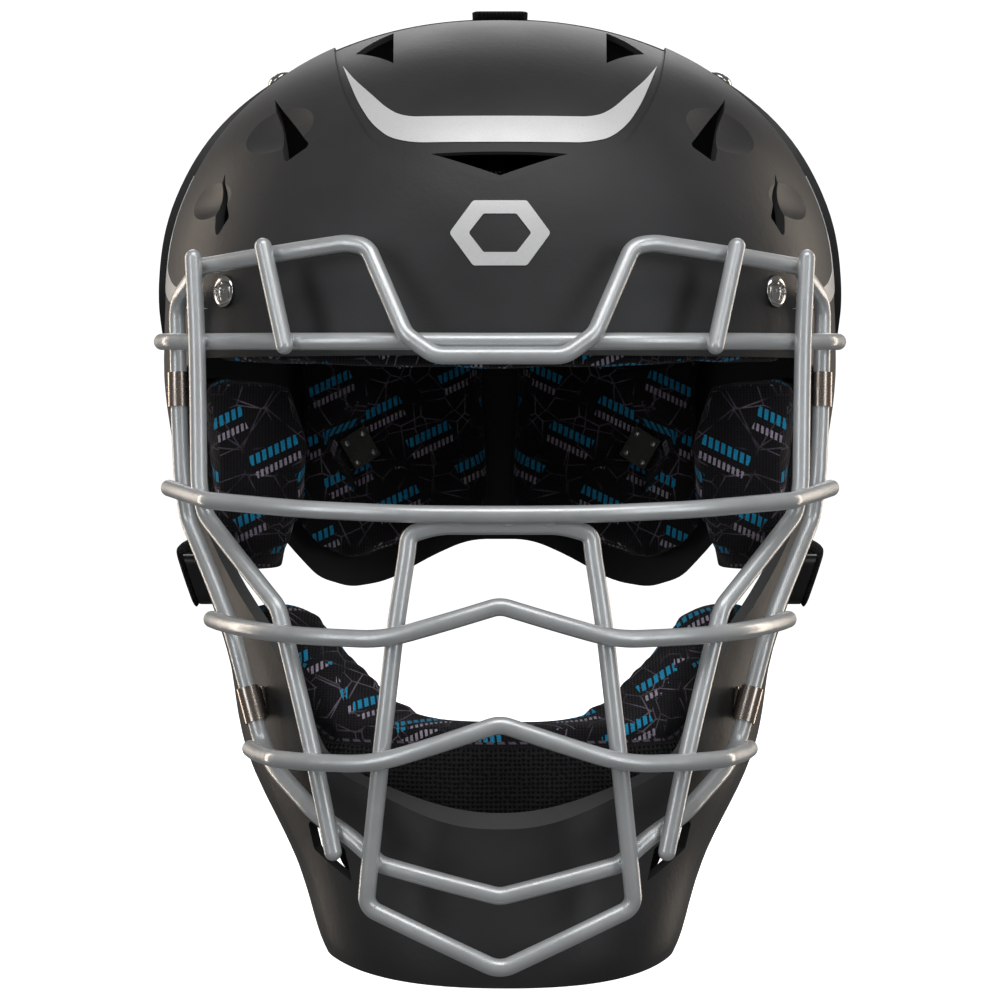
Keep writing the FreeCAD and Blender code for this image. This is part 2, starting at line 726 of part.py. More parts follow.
brow_places = [on_surface(point, SEAT_GAP) for point in brow_points]
crown_places = [on_surface(point, SEAT_GAP) for point in crown_points]
keep("brow_screws", placed_copies("brow_screws", brow_screw, brow_places))
keep("crown_screws", placed_copies("crown_screws", crown_screw, crown_places))
keep("clip_screws", placed_copies("clip_screws", clip_screw, clip_screw_places))
keep("clip_nuts", placed_copies("clip_nuts", clip_nut, clip_nut_places))
nut_places = [on_surface(point, -nut_drop) for point in shell_screw_points]
keep("shell_nuts", placed_copies("shell_nuts", shell_nut, nut_places))

front = cut("shell_blank", form(0), form(-wall))
front = cut("shell_rear_cut", front, rear_cutter)
front = cut("shell_face_cut", front, face_cutter)
front = cut("shell_panel_cut", front, panel_cutter)
front = cut_group("shell_scoop_cut", front, scoops)
front = cut_group("shell_opening_cut", front, openings)
keep("front_shell", cut_group("front_shell", front, shell_holes))


# ---------------------------------------------------------------- back plate
PLATE_SIDE = [(30, 200), (28, 138), (9, 108), (4, 80), (9, 48), (30, 28), (46, 4), (58, -18), (58, -90),
              (200, -90), (200, 200)]
PLATE_LOWER_EDGE = [(-130, -22), (-92, -30), (-81, -45), (-70, -57), (-58, -61), (-44, -59), (-26, -49),
                    (-12, -43), (12, -43), (26, -49), (44, -59), (58, -61), (70, -57), (81, -45),
                    (92, -30), (130, -22), (130, 200), (-130, 200)]
PLATE_VENTS = [
    [(-30, 84), (-8, 88), (-8, 76), (-26, 70)],
    [(-46, 44), (-12, 50), (-12, 36), (-40, 28)],
]
plate_inner = dim("plate_gap")
plate_outer = plate_inner + dim("plate_wall")
plate_region = common("plate_region", [
    prism("plate_side", "side", PLATE_SIDE, -200, 200, 22),
    prism("plate_lower_edge", "front", PLATE_LOWER_EDGE, -200, 0, 16),
])
plate_holes = []
for index, corners in enumerate(PLATE_VENTS):
    for side, points_of in (("left", list), ("right", mirrored)):
        name = "plate_vent_%s_%d" % (side, index)
        plate_holes.append(prism(name, "front", points_of(corners), -200, -60, 3))
plate_blank = layer("plate_blank", plate_outer, plate_inner, plate_region)
keep("back_plate", cut_group("back_plate", plate_blank, plate_holes))


# ---------------------------------------------------------------- pads
pad_outer = -(wall + dim("pad_gap"))
BROW_PAD = [(-99, 22), (-84, 21.5), (-40, 18.5), (0, 17.5), (40, 18.5), (84, 21.5), (99, 22), (98, 35),
            (86, 41), (82, 58), (58, 76), (-58, 76), (-82, 58), (-86, 41), (-98, 35)]
CHEEK_PAD = [(-62, 19), (-20, 20), (-2, 16), (3, 0), (3, -28), (-8, -46), (-28, -52), (-46, -46), (-60, -30),
             (-64, -8)]
CROWN_PAD = [(-38, -46), (38, -46), (38, 26), (-38, 26)]
CHIN_PAD = [(-24, -60), (-50, -61), (-68, -75), (-92, -96), (-140, -105), (-140, -168), (-90, -166),
            (-62, -146), (-36, -104), (-20, -74)]
REAR_PAD = [(-80, 56), (-1.5, 60), (-1.5, -32), (-24, -40), (-44, -50), (-60, -52), (-76, -40)]
REAR_TOP_PAD = [(-48, 66), (48, 66), (40, 104), (-40, 104)]
ANCHOR_SPOT = (-52.0, -6.0)
ANCHOR_TILT = math.radians(30)
ANCHOR_SIZE = 13.0
RIVET_REACH = 4.2             # of each rivet from the middle of its plate
ANCHOR_POCKET = 14.6
ANCHOR_DEPTH = 3.6            # of the pocket, below the rear pad's face on the head's side
ANCHOR_LIFT = 0.5             # plate over the pocket's curved floor
NUT_POCKET_DEPTH = 9.0        # below the form's surface


def square(middle, size, tilt):
    corners = []
    for quarter in range(4):
        angle = tilt + math.pi / 4 + quarter * math.pi / 2
        corners.append((middle[0] + size / math.sqrt(2) * math.cos(angle),
                        middle[1] + size / math.sqrt(2) * math.sin(angle)))
    return corners


keep("brow_pad", layer("brow_pad", pad_outer, pad_outer - dim("brow_pad_thickness"),
                       prism("brow_pad_region", "front", BROW_PAD, 25, AHEAD_OF_FACE, 10)))
keep("crown_pad", layer("crown_pad", pad_outer, pad_outer - dim("crown_pad_thickness"),
                        prism("crown_pad_region", "top", CROWN_PAD, 100, 200, 12)))
chin_outer = pad_outer - dim("chin_pad_setback")
keep("chin_pad", layer("chin_pad", chin_outer, chin_outer - dim("chin_pad_thickness"),
                       prism("chin_pad_region", "side", CHIN_PAD, -150, 150, 12)))
keep("rear_top_pad", layer("rear_top_pad", 0, -dim("rear_pad_thickness"),
                           prism("rear_top_region", "front", REAR_TOP_PAD, -200, -46, 10)))
cheek_region = prism("cheek_region", "side", CHEEK_PAD, -200, -50, 10)
cheek_block = layer("cheek_pad_block", pad_outer, pad_outer - dim("cheek_pad_thickness"), cheek_region)
upper_height, upper_y = CLIP_HEIGHTS["upper"]
nut_place = on_surface(V(-form_x(upper_y, upper_height), upper_y, upper_height))
nut_pocket = drill("cheek_nut_pocket", nut_place, dim("clip_nut_flange") / 2 + 1.2, 2 * NUT_POCKET_DEPTH)
keep_pair("cheek_pad", cut("left_cheek_pad", cheek_block, nut_pocket))
rear_region = prism("rear_region", "front", REAR_PAD, -200, -46, 12)
rear_block = layer("rear_pad_block", 0, -dim("rear_pad_thickness"), rear_region)
anchor_floor = ANCHOR_DEPTH - dim("rear_pad_thickness")
anchor_square = prism("anchor_square", "front", square(ANCHOR_SPOT, ANCHOR_POCKET, ANCHOR_TILT), -200, 0)
anchor_pocket = layer("anchor_pocket", anchor_floor, anchor_floor - 2 * ANCHOR_DEPTH, anchor_square)
keep_pair("rear_pad", cut("left_rear_pad", rear_block, anchor_pocket))


# ---------------------------------------------------------------- straps and their fittings
STRAP_LIFT = 5.7
STRAP_BAND = [(-14, -43), (30, -40), (94, -17), (94, -38), (30, -62), (-14, -65)]
STRAP_ROUNDING = 4.0
STRAP_ANCHOR = [(-12, -45), (0, -45), (0, -63), (-12, -63)]
SLIDER = [(70, -21), (84, -16), (84, -46), (70, -51)]
SLIDER_SLOT = [(40, -34), (100, -13.5), (100, -40), (40, -61)]
SLOT_PLAY = 0.75              # between the slider's slot and the strap
TOP_STRAP_ENDS = (-4.0, 66.0)
TOP_STRAP_RAMP = (18.0, 30.0)
TOP_STRAP_LIFTS = (0.5, 4.4)

strap_top = STRAP_LIFT + dim("strap_thickness")
band = prism("strap_band", "side", STRAP_BAND, -200, -20, STRAP_ROUNDING)
keep_pair("strap", layer("left_strap", strap_top, STRAP_LIFT, band))
anchor_region = prism("anchor_region", "side", STRAP_ANCHOR, -200, -20, STRAP_ROUNDING)
keep_pair("strap_anchor", layer("left_strap_anchor", STRAP_LIFT - 0.6, 0.1, anchor_region))
slider_block = layer("slider_block", strap_top + SLOT_PLAY + 1.4, plate_outer + 0.4,
                     prism("slider_region", "side", SLIDER, -200, -20, 2))
slider_slot = layer("slider_slot", strap_top + SLOT_PLAY, STRAP_LIFT - SLOT_PLAY,
                    prism("slot_region", "side", SLIDER_SLOT, -200, -20))
keep_pair("strap_slider", cut("left_strap_slider", slider_block, slider_slot))


def crown_height(y, offset):
    depth = dim("dome_front") if y < dim("dome_back_shift") else dim("dome_rear")
    share = abs(y - dim("dome_back_shift")) / (depth + offset)
    rise = dim("dome_height") + offset
    return dim("dome_base") + rise * (1.0 - share ** FORM_POWER) ** (1.0 / FORM_POWER)


def strap_lift(y):
    part = min(1.0, max(0.0, (y - TOP_STRAP_RAMP[0]) / (TOP_STRAP_RAMP[1] - TOP_STRAP_RAMP[0])))
    eased = part * part * (3 - 2 * part)
    return TOP_STRAP_LIFTS[0] + (TOP_STRAP_LIFTS[1] - TOP_STRAP_LIFTS[0]) * eased


def top_strap_shape():
    """A ribbon over the crown that climbs from the front shell onto the back plate."""
    stations = 19
    start, end = TOP_STRAP_ENDS
    ys = [start + (end - start) * index / (stations - 1) for index in range(stations)]
    half = dim("strap_width") / 2
    edges = []
    for thick in (0.0, dim("strap_thickness")):
        curve = Part.BSplineCurve()
        curve.interpolate([V(-half, y, crown_height(y, strap_lift(y) + thick)) for y in ys])
        edges.append(curve)
    lower, upper = edges
    ends = [Part.LineSegment(lower.value(lower.FirstParameter), upper.value(upper.FirstParameter)),
            Part.LineSegment(lower.value(lower.LastParameter), upper.value(upper.LastParameter))]
    rim = Part.__sortEdges__([curve.toShape() for curve in [lower, upper] + ends])
    return Part.Face(Part.Wire(rim)).extrude(V(2 * half, 0, 0))


top_strap = doc.addObject("Part::Feature", "top_strap")
top_strap.Shape = top_strap_shape()
keep("top_strap", top_strap)

# The plastic squares set into the rear pads hold the ends of the straps.
anchor_plate = doc.addObject("PartDesign::Body", "anchor_plate")
anchor_sketch = anchor_plate.newObject("Sketcher::SketchObject", "anchor_plate_outline")
anchor_sketch.AttachmentSupport = [(origin_plane(anchor_plate, "XY_Plane"), "")]
anchor_sketch.MapMode = "FlatFace"
draw_closed(anchor_sketch, square((0, 0), ANCHOR_SIZE, 0))
anchor_pad = anchor_plate.newObject("PartDesign::Pad", "anchor_plate_pad")
anchor_pad.Profile = anchor_sketch
anchor_pad.Length = 1.6
doc.recompute()
corner_hole = anchor_plate.newObject("Sketcher::SketchObject", "anchor_plate_hole")
corner_hole.AttachmentSupport = [(origin_plane(anchor_plate, "XY_Plane"), "")]
corner_hole.MapMode = "FlatFace"
corner_hole.addGeometry(Part.Circle(V(RIVET_REACH, RIVET_REACH, 0), V(0, 0, 1), 0.85), False)
hole_pocket = anchor_plate.newObject("PartDesign::Pocket", "anchor_plate_corner")
hole_pocket.Profile = corner_hole
hole_pocket.Type = "ThroughAll"
hole_pocket.Reversed = True
doc.recompute()
hole_pattern = anchor_plate.newObject("PartDesign::PolarPattern", "anchor_plate_corners")
hole_pattern.Originals = [hole_pocket]
hole_pattern.Axis = (anchor_sketch, ["N_Axis"])
hole_pattern.Angle = 360
hole_pattern.Occurrences = 4
anchor_plate.Tip = hole_pattern
rivet = turned_body("rivet", [(0, -1.3), (0.75, -1.3), (0.75, 1.65), (1.3, 1.65), (1.1, 2.1), (0, 2.3)], {})
doc.recompute()

plate_places = []
rivet_places = []
for sign in (1, -1):
    x, height = sign * ANCHOR_SPOT[0], ANCHOR_SPOT[1]
    inside = V(x, form_y(x, height, anchor_floor, rear=True) - 8.0, height)
    floor_point = form(anchor_floor).Shape.Shells[0].distToShape(Part.Vertex(inside))[1][0][0]
    inward = inside - floor_point
    inward.normalize()
    edge = V(math.cos(ANCHOR_TILT) * sign, 0, math.sin(ANCHOR_TILT))
    place = aim(floor_point + inward * ANCHOR_LIFT, inward, edge)
    plate_places.append(place)
    for across_x in (-RIVET_REACH, RIVET_REACH):
        for across_y in (-RIVET_REACH, RIVET_REACH):
            corner_place = FreeCAD.Placement(V(across_x, across_y, 0), FreeCAD.Rotation())
            rivet_places.append(place.multiply(corner_place))
keep("strap_rivets", placed_copies("strap_rivets", rivet, rivet_places))
keep("strap_anchor_plates", placed_copies("strap_anchor_plates", anchor_plate, plate_places))


# ---------------------------------------------------------------- printed marks
CRESCENT = [(-55, 127.5), (-50.5, 121.5), (-44.8, 116), (-39.2, 110.5), (-34.8, 107.7), (-30, 106.7),
            (30, 106.7), (34.8, 107.7), (39.2, 110.5), (44.8, 116), (50.5, 121.5), (55, 127.5),
            (52, 120), (48.5, 112), (43.8, 104.5), (37.7, 99.3), (29.5, 97.4),
            (-29.5, 97.4), (-37.7, 99.3), (-43.8, 104.5), (-48.5, 112), (-52, 120)]
SIDE_ACCENT = [(-6, 92), (2, 84), (0, 66), (-14, 50), (-40, 43), (-66, 42), (-42, 46), (-64, 48),
               (-38, 50), (-16, 58), (-8, 70)]
BADGE_OUTER = [(-17, 66), (-9, 77), (9, 77), (17, 66), (9, 55), (-9, 55)]
BADGE_INNER = [(-10.5, 66), (-5.5, 72.5), (5.5, 72.5), (10.5, 66), (5.5, 59.5), (-5.5, 59.5)]
film_inner = dim("decal_gap")
film_outer = film_inner + dim("decal_thickness")
keep("crown_crescent", layer("crown_crescent", film_outer - sunk, film_inner - sunk,
                             prism("crescent_region", "front", CRESCENT, -30, AHEAD_OF_FACE, 14)))
badge_region = prism("badge_outer", "front", BADGE_OUTER, 40, AHEAD_OF_FACE, 1.5)
badge_window = prism("badge_inner", "front", BADGE_INNER, 40, AHEAD_OF_FACE, 1.0)
badge_blank = layer("badge_blank", film_outer, film_inner, badge_region)
keep("brow_badge", cut("brow_badge", badge_blank, badge_window))
accent_region = prism("accent_region", "side", SIDE_ACCENT, -200, -50, 10)
keep_pair("accent", layer("left_accent", film_outer, film_inner, accent_region))


# ---------------------------------------------------------------- check and write
doc.recompute()
for feature in doc.Objects:
    if "Invalid" in feature.State or "Error" in feature.State:
        raise RuntimeError("%s did not compute: %s" % (feature.Name, feature.State))
os.makedirs("parts", exist_ok=True)
for node, feature in parts.items():
    if feature.Shape.isNull() or not feature.Shape.isValid() or not feature.Shape.Solids:
        raise RuntimeError("%s has no valid solid" % node)
for node, feature in parts.items():
    feature.Shape.exportStep("parts/%s.step" % node)
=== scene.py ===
import math
import bmesh
import bpy
import numpy as np
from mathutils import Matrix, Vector
from mathutils.bvhtree import BVHTree


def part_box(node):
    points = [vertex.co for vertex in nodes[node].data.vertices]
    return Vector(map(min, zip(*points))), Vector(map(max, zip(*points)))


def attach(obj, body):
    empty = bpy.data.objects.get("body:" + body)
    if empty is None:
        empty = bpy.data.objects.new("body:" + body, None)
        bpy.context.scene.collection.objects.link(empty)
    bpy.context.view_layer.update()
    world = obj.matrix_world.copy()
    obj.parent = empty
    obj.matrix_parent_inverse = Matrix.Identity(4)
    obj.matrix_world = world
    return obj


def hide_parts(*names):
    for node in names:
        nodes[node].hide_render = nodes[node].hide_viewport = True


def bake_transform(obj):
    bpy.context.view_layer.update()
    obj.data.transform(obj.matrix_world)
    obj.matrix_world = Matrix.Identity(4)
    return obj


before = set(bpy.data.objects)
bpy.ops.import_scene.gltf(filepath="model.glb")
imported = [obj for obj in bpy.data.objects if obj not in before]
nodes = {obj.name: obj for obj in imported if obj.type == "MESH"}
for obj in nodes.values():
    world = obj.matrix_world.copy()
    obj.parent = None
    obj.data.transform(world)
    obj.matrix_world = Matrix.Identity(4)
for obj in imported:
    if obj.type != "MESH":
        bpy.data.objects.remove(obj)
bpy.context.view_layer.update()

# A catcher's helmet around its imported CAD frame. Metres, +Z up, the face looks along -Y.
# Hard CAD nodes keep their shapes and get materials. The pads, the straps, the smooth-headed screws and
# the weld beads are made here.

scene = bpy.context.scene
MM = 0.001


# ------------------------------------------------------------------ camera, lights, floor
CAMERA_DISTANCE = 1.4
SENSOR_WIDTH = 36            # in millimetres, as Blender's cameras have it
FOCAL_SHARE = 3.85           # focal length over sensor width
FRAME_SHIFT = -0.07          # lens shift, as a share of the picture's width
AMBIENT_LIGHT = 0.12
BACKDROP_LIGHT = 1.1
FLOOR_HEIGHT = -0.2
FLOOR_HALF = 60.0


def add_object(name, data):
    obj = bpy.data.objects.new(name, data)
    scene.collection.objects.link(obj)
    return obj


def look_at(obj, target=(0, 0, 0)):
    obj.rotation_euler = (Vector(target) - obj.location).to_track_quat("-Z", "Y").to_euler()


def add_camera():
    data = bpy.data.cameras.new("camera")
    data.sensor_width = SENSOR_WIDTH
    data.lens = SENSOR_WIDTH * FOCAL_SHARE
    data.shift_y = FRAME_SHIFT
    camera = add_object("camera", data)
    camera.location = (0, -CAMERA_DISTANCE, 0)
    camera.rotation_euler = (math.pi / 2, 0, 0)
    scene.camera = camera


# Each softbox: name, place, width, height, power, colour.
SOFTBOXES = [
    ("key_soft", (0.15, -1.0, 1.5), 1.4, 0.9, 13, (1.0, 1.0, 1.0)),
    ("left_rim", (-1.2, 0.75, 0.1), 0.35, 1.3, 7, (1.0, 0.86, 0.72)),
    ("right_rim", (1.2, 0.75, 0.1), 0.35, 1.3, 7, (1.0, 0.86, 0.72)),
    ("left_front", (-1.1, -1.3, 0.3), 0.4, 1.2, 4.6, (0.95, 0.98, 1.0)),
    ("right_front", (1.1, -1.3, 0.3), 0.4, 1.2, 4.6, (0.95, 0.98, 1.0)),
    ("back_soft", (0.0, 1.5, 1.1), 1.2, 1.0, 9, (1.0, 1.0, 1.0)),
]


def add_softboxes():
    for name, place, width, height, power, colour in SOFTBOXES:
        data = bpy.data.lights.new(name, "AREA")
        data.shape = "RECTANGLE"
        data.size = width
        data.size_y = height
        data.energy = power
        data.color = colour
        lamp = add_object(name, data)
        lamp.location = place
        look_at(lamp)


def add_world():
    """A faint even light, and a white backdrop that only the camera sees."""
    world = bpy.data.worlds.new("studio")
    scene.world = world
    world.use_nodes = True
    tree = world.node_tree
    background = tree.nodes["Background"]
    background.inputs["Color"].default_value = (1, 1, 1, 1)
    background.inputs["Strength"].default_value = AMBIENT_LIGHT
    bright = tree.nodes.new("ShaderNodeBackground")
    bright.inputs["Color"].default_value = (1, 1, 1, 1)
    bright.inputs["Strength"].default_value = BACKDROP_LIGHT
    rays = tree.nodes.new("ShaderNodeLightPath")
    choose = tree.nodes.new("ShaderNodeMixShader")
    tree.links.new(rays.outputs["Is Camera Ray"], choose.inputs["Fac"])
    tree.links.new(background.outputs[0], choose.inputs[1])
    tree.links.new(bright.outputs[0], choose.inputs[2])
    tree.links.new(choose.outputs[0], tree.nodes["World Output"].inputs["Surface"])
    scene.view_settings.view_transform = "Standard"


def add_floor():
    mesh = bpy.data.meshes.new("floor")
    corners = [(-1, -1), (1, -1), (1, 1), (-1, 1)]
    mesh.from_pydata([(x * FLOOR_HALF, y * FLOOR_HALF, FLOOR_HEIGHT) for x, y in corners], [], [(0, 1, 2, 3)])
    floor = add_object("floor", mesh)
    graph = Graph("floor_paper")
    graph.set(base=(0.9, 0.9, 0.9), roughness=0.95, specular=0.1)
    graph.shader.inputs["Emission Color"].default_value = (1, 1, 1, 1)
    graph.shader.inputs["Emission Strength"].default_value = 1.0
    mesh.materials.append(graph.material)
    # The floor looks white and takes no part in lighting the helmet from below.
    floor.visible_diffuse = False
    floor.visible_glossy = False


# ------------------------------------------------------------------ material building
class Graph:
    """A Principled material and short ways to add and join its nodes."""

    def __init__(self, name):
        self.material = bpy.data.materials.new(name)
        self.material.use_nodes = True
        self.tree = self.material.node_tree
        self.shader = self.tree.nodes["Principled BSDF"]

    def set(self, base=None, roughness=None, metallic=None, specular=None, **others):
        names = {"Roughness": roughness, "Metallic": metallic, "Specular IOR Level": specular}
        names.update({key.replace("_", " "): value for key, value in others.items()})
        if base is not None:
            self.shader.inputs["Base Color"].default_value = (*base, 1)
        for key, value in names.items():
            if value is not None:
                self.shader.inputs[key].default_value = value

    def node(self, kind, inputs=None, **settings):
        node = self.tree.nodes.new("ShaderNode" + kind)
        for key, value in settings.items():
            setattr(node, key, value)
        for key, value in (inputs or {}).items():
            self.feed(node.inputs[key], value)
        return node

    def feed(self, socket, value):
        if isinstance(value, bpy.types.NodeSocket):
            self.tree.links.new(value, socket)
        else:
            socket.default_value = value

    def math(self, operation, *values):
        node = self.node("Math", operation=operation)
        for socket, value in zip(node.inputs, values):
            self.feed(socket, value)
        return node.outputs[0]

    def place(self, scale=1.0, turn=0.0, source="Object"):
        """Object or UV coordinates, scaled and turned about Z."""
        where = self.node("TexCoord").outputs[source]
        return self.node("Mapping", {"Vector": where, "Rotation": (0, 0, turn),
                                     "Scale": (scale, scale, scale)}).outputs[0]

    def noise(self, scale, detail=2.0, place=None, roughness=0.5):
        place = place or self.place()
        return self.node("TexNoise", {"Vector": place, "Scale": scale, "Detail": detail,
                                      "Roughness": roughness}).outputs["Fac"]

    def spread(self, value, low, high, out_low=0.0, out_high=1.0):
        return self.node("MapRange", {"Value": value, "From Min": low, "From Max": high,
                                      "To Min": out_low, "To Max": out_high}).outputs["Result"]

    def mix(self, share, first, second):
        """Two colours mixed."""
        node = self.node("Mix", data_type="RGBA")
        self.feed(node.inputs["Factor"], share)
        for socket, value in ((node.inputs[6], first), (node.inputs[7], second)):
            self.feed(socket, (*value, 1) if isinstance(value, tuple) else value)
        return node.outputs[2]

    def base(self, colour):
        self.tree.links.new(colour, self.shader.inputs["Base Color"])

    def rough(self, value):
        self.tree.links.new(value, self.shader.inputs["Roughness"])

    def bump(self, layers):
        """Bump layers of (height, distance in metres), one over the other."""
        normal = None
        for height, distance in layers:
            node = self.node("Bump", {"Height": height, "Strength": 1.0, "Distance": distance})
            if normal is not None:
                self.tree.links.new(normal, node.inputs["Normal"])
            normal = node.outputs["Normal"]
        self.tree.links.new(normal, self.shader.inputs["Normal"])


def moulded_plastic(name, shade, gloss_low, gloss_high, grain=0.00004):
    """Matte moulded plastic: fine grain, faint clouding and a few rubbed patches."""
    graph = Graph(name)
    graph.set(specular=0.38)
    cloud = graph.spread(graph.noise(22, 3), 0.3, 0.7)
    rubbed = graph.spread(graph.noise(9, 4, roughness=0.7), 0.6, 0.78)
    lighter = tuple(value * 1.35 + 0.004 for value in shade)
    dusty = tuple(value * 1.9 + 0.008 for value in shade)
    graph.base(graph.mix(graph.math("MULTIPLY", rubbed, 0.35), graph.mix(cloud, shade, lighter), dusty))
    fine = graph.noise(1500, 2)
    graph.rough(graph.math("ADD", graph.spread(cloud, 0, 1, gloss_low, gloss_high),
                           graph.math("MULTIPLY", fine, 0.08)))
    graph.bump([(graph.noise(420, 3), grain * 1.5), (fine, grain)])
    return graph.material


def silver_paint():
    """Silver lacquer over steel rod: metallic flake, slight orange peel, worn darker in places."""
    graph = Graph("silver_lacquer")
    graph.set(metallic=0.4, specular=0.5, Coat_Weight=0.3, Coat_Roughness=0.15)
    flake = graph.noise(5200, 1)
    cloud = graph.spread(graph.noise(60, 3), 0.3, 0.75)
    body = graph.mix(cloud, (0.63, 0.65, 0.66), (0.73, 0.75, 0.76))
    graph.base(graph.mix(graph.spread(flake, 0.35, 0.75, 0.0, 0.45), body, (0.80, 0.81, 0.82)))
    graph.rough(graph.spread(graph.noise(240, 2), 0.3, 0.7, 0.30, 0.40))
    graph.bump([(graph.noise(330, 2), 0.00006), (flake, 0.000012)])
    return graph.material


def polished_metal(name, colour, roughness, streak=0.0):
    """Bright metal with smears and fine scratches."""
    graph = Graph(name)
    graph.set(metallic=1.0)
    smear = graph.noise(180, 4)
    graph.base(graph.mix(graph.spread(smear, 0.35, 0.7), colour, tuple(value * 0.8 for value in colour)))
    graph.rough(graph.spread(smear, 0.3, 0.7, roughness, roughness + 0.12))
    where = graph.node("TexCoord").outputs["Object"]
    drawn_out = graph.node("Mapping", {"Vector": where, "Scale": (1, 1, 14)}).outputs[0]
    scratches = graph.node("TexNoise", {"Vector": drawn_out, "Scale": 260.0, "Detail": 3.0}).outputs["Fac"]
    graph.bump([(scratches, 0.00002 + streak)])
    return graph.material


def printed_film(name, colour):
    """Thin satin film with a fine print grain."""
    graph = Graph(name)
    graph.set(metallic=0.15, specular=0.5, Coat_Weight=0.2, Coat_Roughness=0.25)
    grain = graph.noise(2600, 1)
    graph.base(graph.mix(graph.spread(grain, 0.3, 0.8), colour, tuple(value * 0.9 for value in colour)))
    graph.rough(graph.spread(graph.noise(90, 3), 0.3, 0.7, 0.34, 0.46))
    graph.bump([(grain, 0.00001)])
    return graph.material


def stripes(graph, value, pitch):
    """0 to 1 and back over each pitch of a coordinate in metres."""
    return graph.math("PINGPONG", graph.math("MULTIPLY", value, 2.0 / pitch), 1.0)


def knit_height(graph, across, along, pitch):
    """The loops of a plain knit, as a height from 0 to 1."""
    shifted = graph.math("ADD", along, graph.math("MULTIPLY", stripes(graph, across, pitch), pitch * 0.4))
    return graph.math("MULTIPLY", stripes(graph, across, pitch), stripes(graph, shifted, pitch * 0.8))


def both(graph, *masks):
    """Masks multiplied together."""
    result = masks[0]
    for mask in masks[1:]:
        result = graph.math("MULTIPLY", result, mask)
    return result


def tick_rows(graph, in_row, in_group, slant, middle, half, share, pitch, gap):
    """A mask of slanted ticks.

    middle and half: where the ticks lie in a row, as shares of its height.
    share: how much of a group they fill. gap: how much of each pitch is bare.
    """
    off_middle = graph.math("ABSOLUTE", graph.math("SUBTRACT", in_row, middle))
    in_pitch = graph.math("FRACT", graph.math("DIVIDE", slant, pitch))
    return both(graph, graph.math("LESS_THAN", off_middle, half), graph.math("LESS_THAN", in_group, share),
                graph.math("GREATER_THAN", in_pitch, gap))


KNIT_PITCH = 0.0011
TICK_TURN = -0.45            # turn of the rows of ticks
TICK_ROW = 0.0172            # height of a row
TICK_GROUP = 0.035           # length of a group of ticks and the space after it
TICK_SHIFT = 0.37            # how far each row's groups start after the last row's, in groups
TICK_LEAN = -0.35
CYAN_TICKS = {"middle": 0.62, "half": 0.10, "share": 0.52, "pitch": 0.0024, "gap": 0.36}
LILAC_TICKS = {"middle": 0.31, "half": 0.07, "share": 0.50, "pitch": 0.0018, "gap": 0.45}
THREAD_PLACE = -0.0002       # metres past the seam
THREAD_HALF = 0.00045
STITCH = 0.0034


def printed_knit(name):
    """Black knit with pale crackle lines and groups of cyan and lilac ticks."""
    graph = Graph(name)
    graph.set(specular=0.2, Sheen_Weight=0.12, Sheen_Roughness=0.5)
    flat = graph.node("SeparateXYZ", {"Vector": graph.place(source="UV")})
    knit = knit_height(graph, flat.outputs[0], flat.outputs[1], KNIT_PITCH)
    band = graph.node("Attribute", attribute_name="band", attribute_type="GEOMETRY").outputs["Fac"]
    printed = graph.math("GREATER_THAN", band, 0.0)
    # The crackle: edges of two sets of cells.
    lines = None
    for scale, turned, width in ((66.0, 0.4, 0.016), (98.0, 1.3, 0.020)):
        cells = graph.node("TexVoronoi", {"Vector": graph.place(1.0, turned, "UV"), "Scale": scale},
                           feature="DISTANCE_TO_EDGE", voronoi_dimensions="2D").outputs["Distance"]
        edge = graph.math("LESS_THAN", cells, width)
        lines = edge if lines is None else graph.math("MAXIMUM", lines, edge)
    fade = graph.spread(graph.noise(70, 2, graph.place(source="UV")), 0.42, 0.62)
    lines = both(graph, lines, fade)
    # The ticks: every row has a cyan line of slanted ticks and a thinner lilac one under it.
    lean = graph.node("SeparateXYZ", {"Vector": graph.place(1.0, TICK_TURN, "UV")})
    along, up = lean.outputs[0], lean.outputs[1]
    row = graph.math("DIVIDE", up, TICK_ROW)
    in_row = graph.math("FRACT", row)
    shift = graph.math("FRACT", graph.math("MULTIPLY", graph.math("FLOOR", row), TICK_SHIFT))
    in_group = graph.math("FRACT", graph.math("ADD", graph.math("DIVIDE", along, TICK_GROUP), shift))
    slant = graph.math("ADD", along, graph.math("MULTIPLY", up, TICK_LEAN))
    cyan_ticks = tick_rows(graph, in_row, in_group, slant, **CYAN_TICKS)
    lilac_ticks = tick_rows(graph, in_row, in_group, slant, **LILAC_TICKS)
    # The knit is near black between its loops and dark grey on their tops: the darkening between the loops is
    # painted shade.
    ground = graph.mix(knit, (0.008, 0.007, 0.009), (0.028, 0.024, 0.029))
    ground = graph.mix(both(graph, lines, printed, 0.75), ground, (0.26, 0.22, 0.28))
    ground = graph.mix(both(graph, lilac_ticks, printed), ground, (0.50, 0.43, 0.54))
    ground = graph.mix(both(graph, cyan_ticks, printed), ground, (0.02, 0.38, 0.68))
    # The seam between print and plain side, sewn in pale thread.
    from_thread = graph.math("ABSOLUTE", graph.math("SUBTRACT", band, THREAD_PLACE))
    in_stitch = graph.math("FRACT", graph.math("DIVIDE", along, STITCH))
    thread = both(graph, graph.math("LESS_THAN", from_thread, THREAD_HALF),
                  graph.math("GREATER_THAN", in_stitch, 0.35))
    ground = graph.mix(thread, ground, (0.16, 0.13, 0.17))
    shade = graph.spread(graph.noise(2400, 1), 0.2, 0.8, 0.75, 1.15)
    graph.base(graph.node("Mix", {"Factor": 1.0, 6: ground, 7: shade}, data_type="RGBA",
                          blend_type="MULTIPLY").outputs[2])
    graph.rough(graph.spread(knit, 0, 1, 0.95, 0.78))
    graph.bump([(graph.noise(160, 2), 0.0006), (knit, 0.00022), (thread, 0.0003)])
    return graph.material


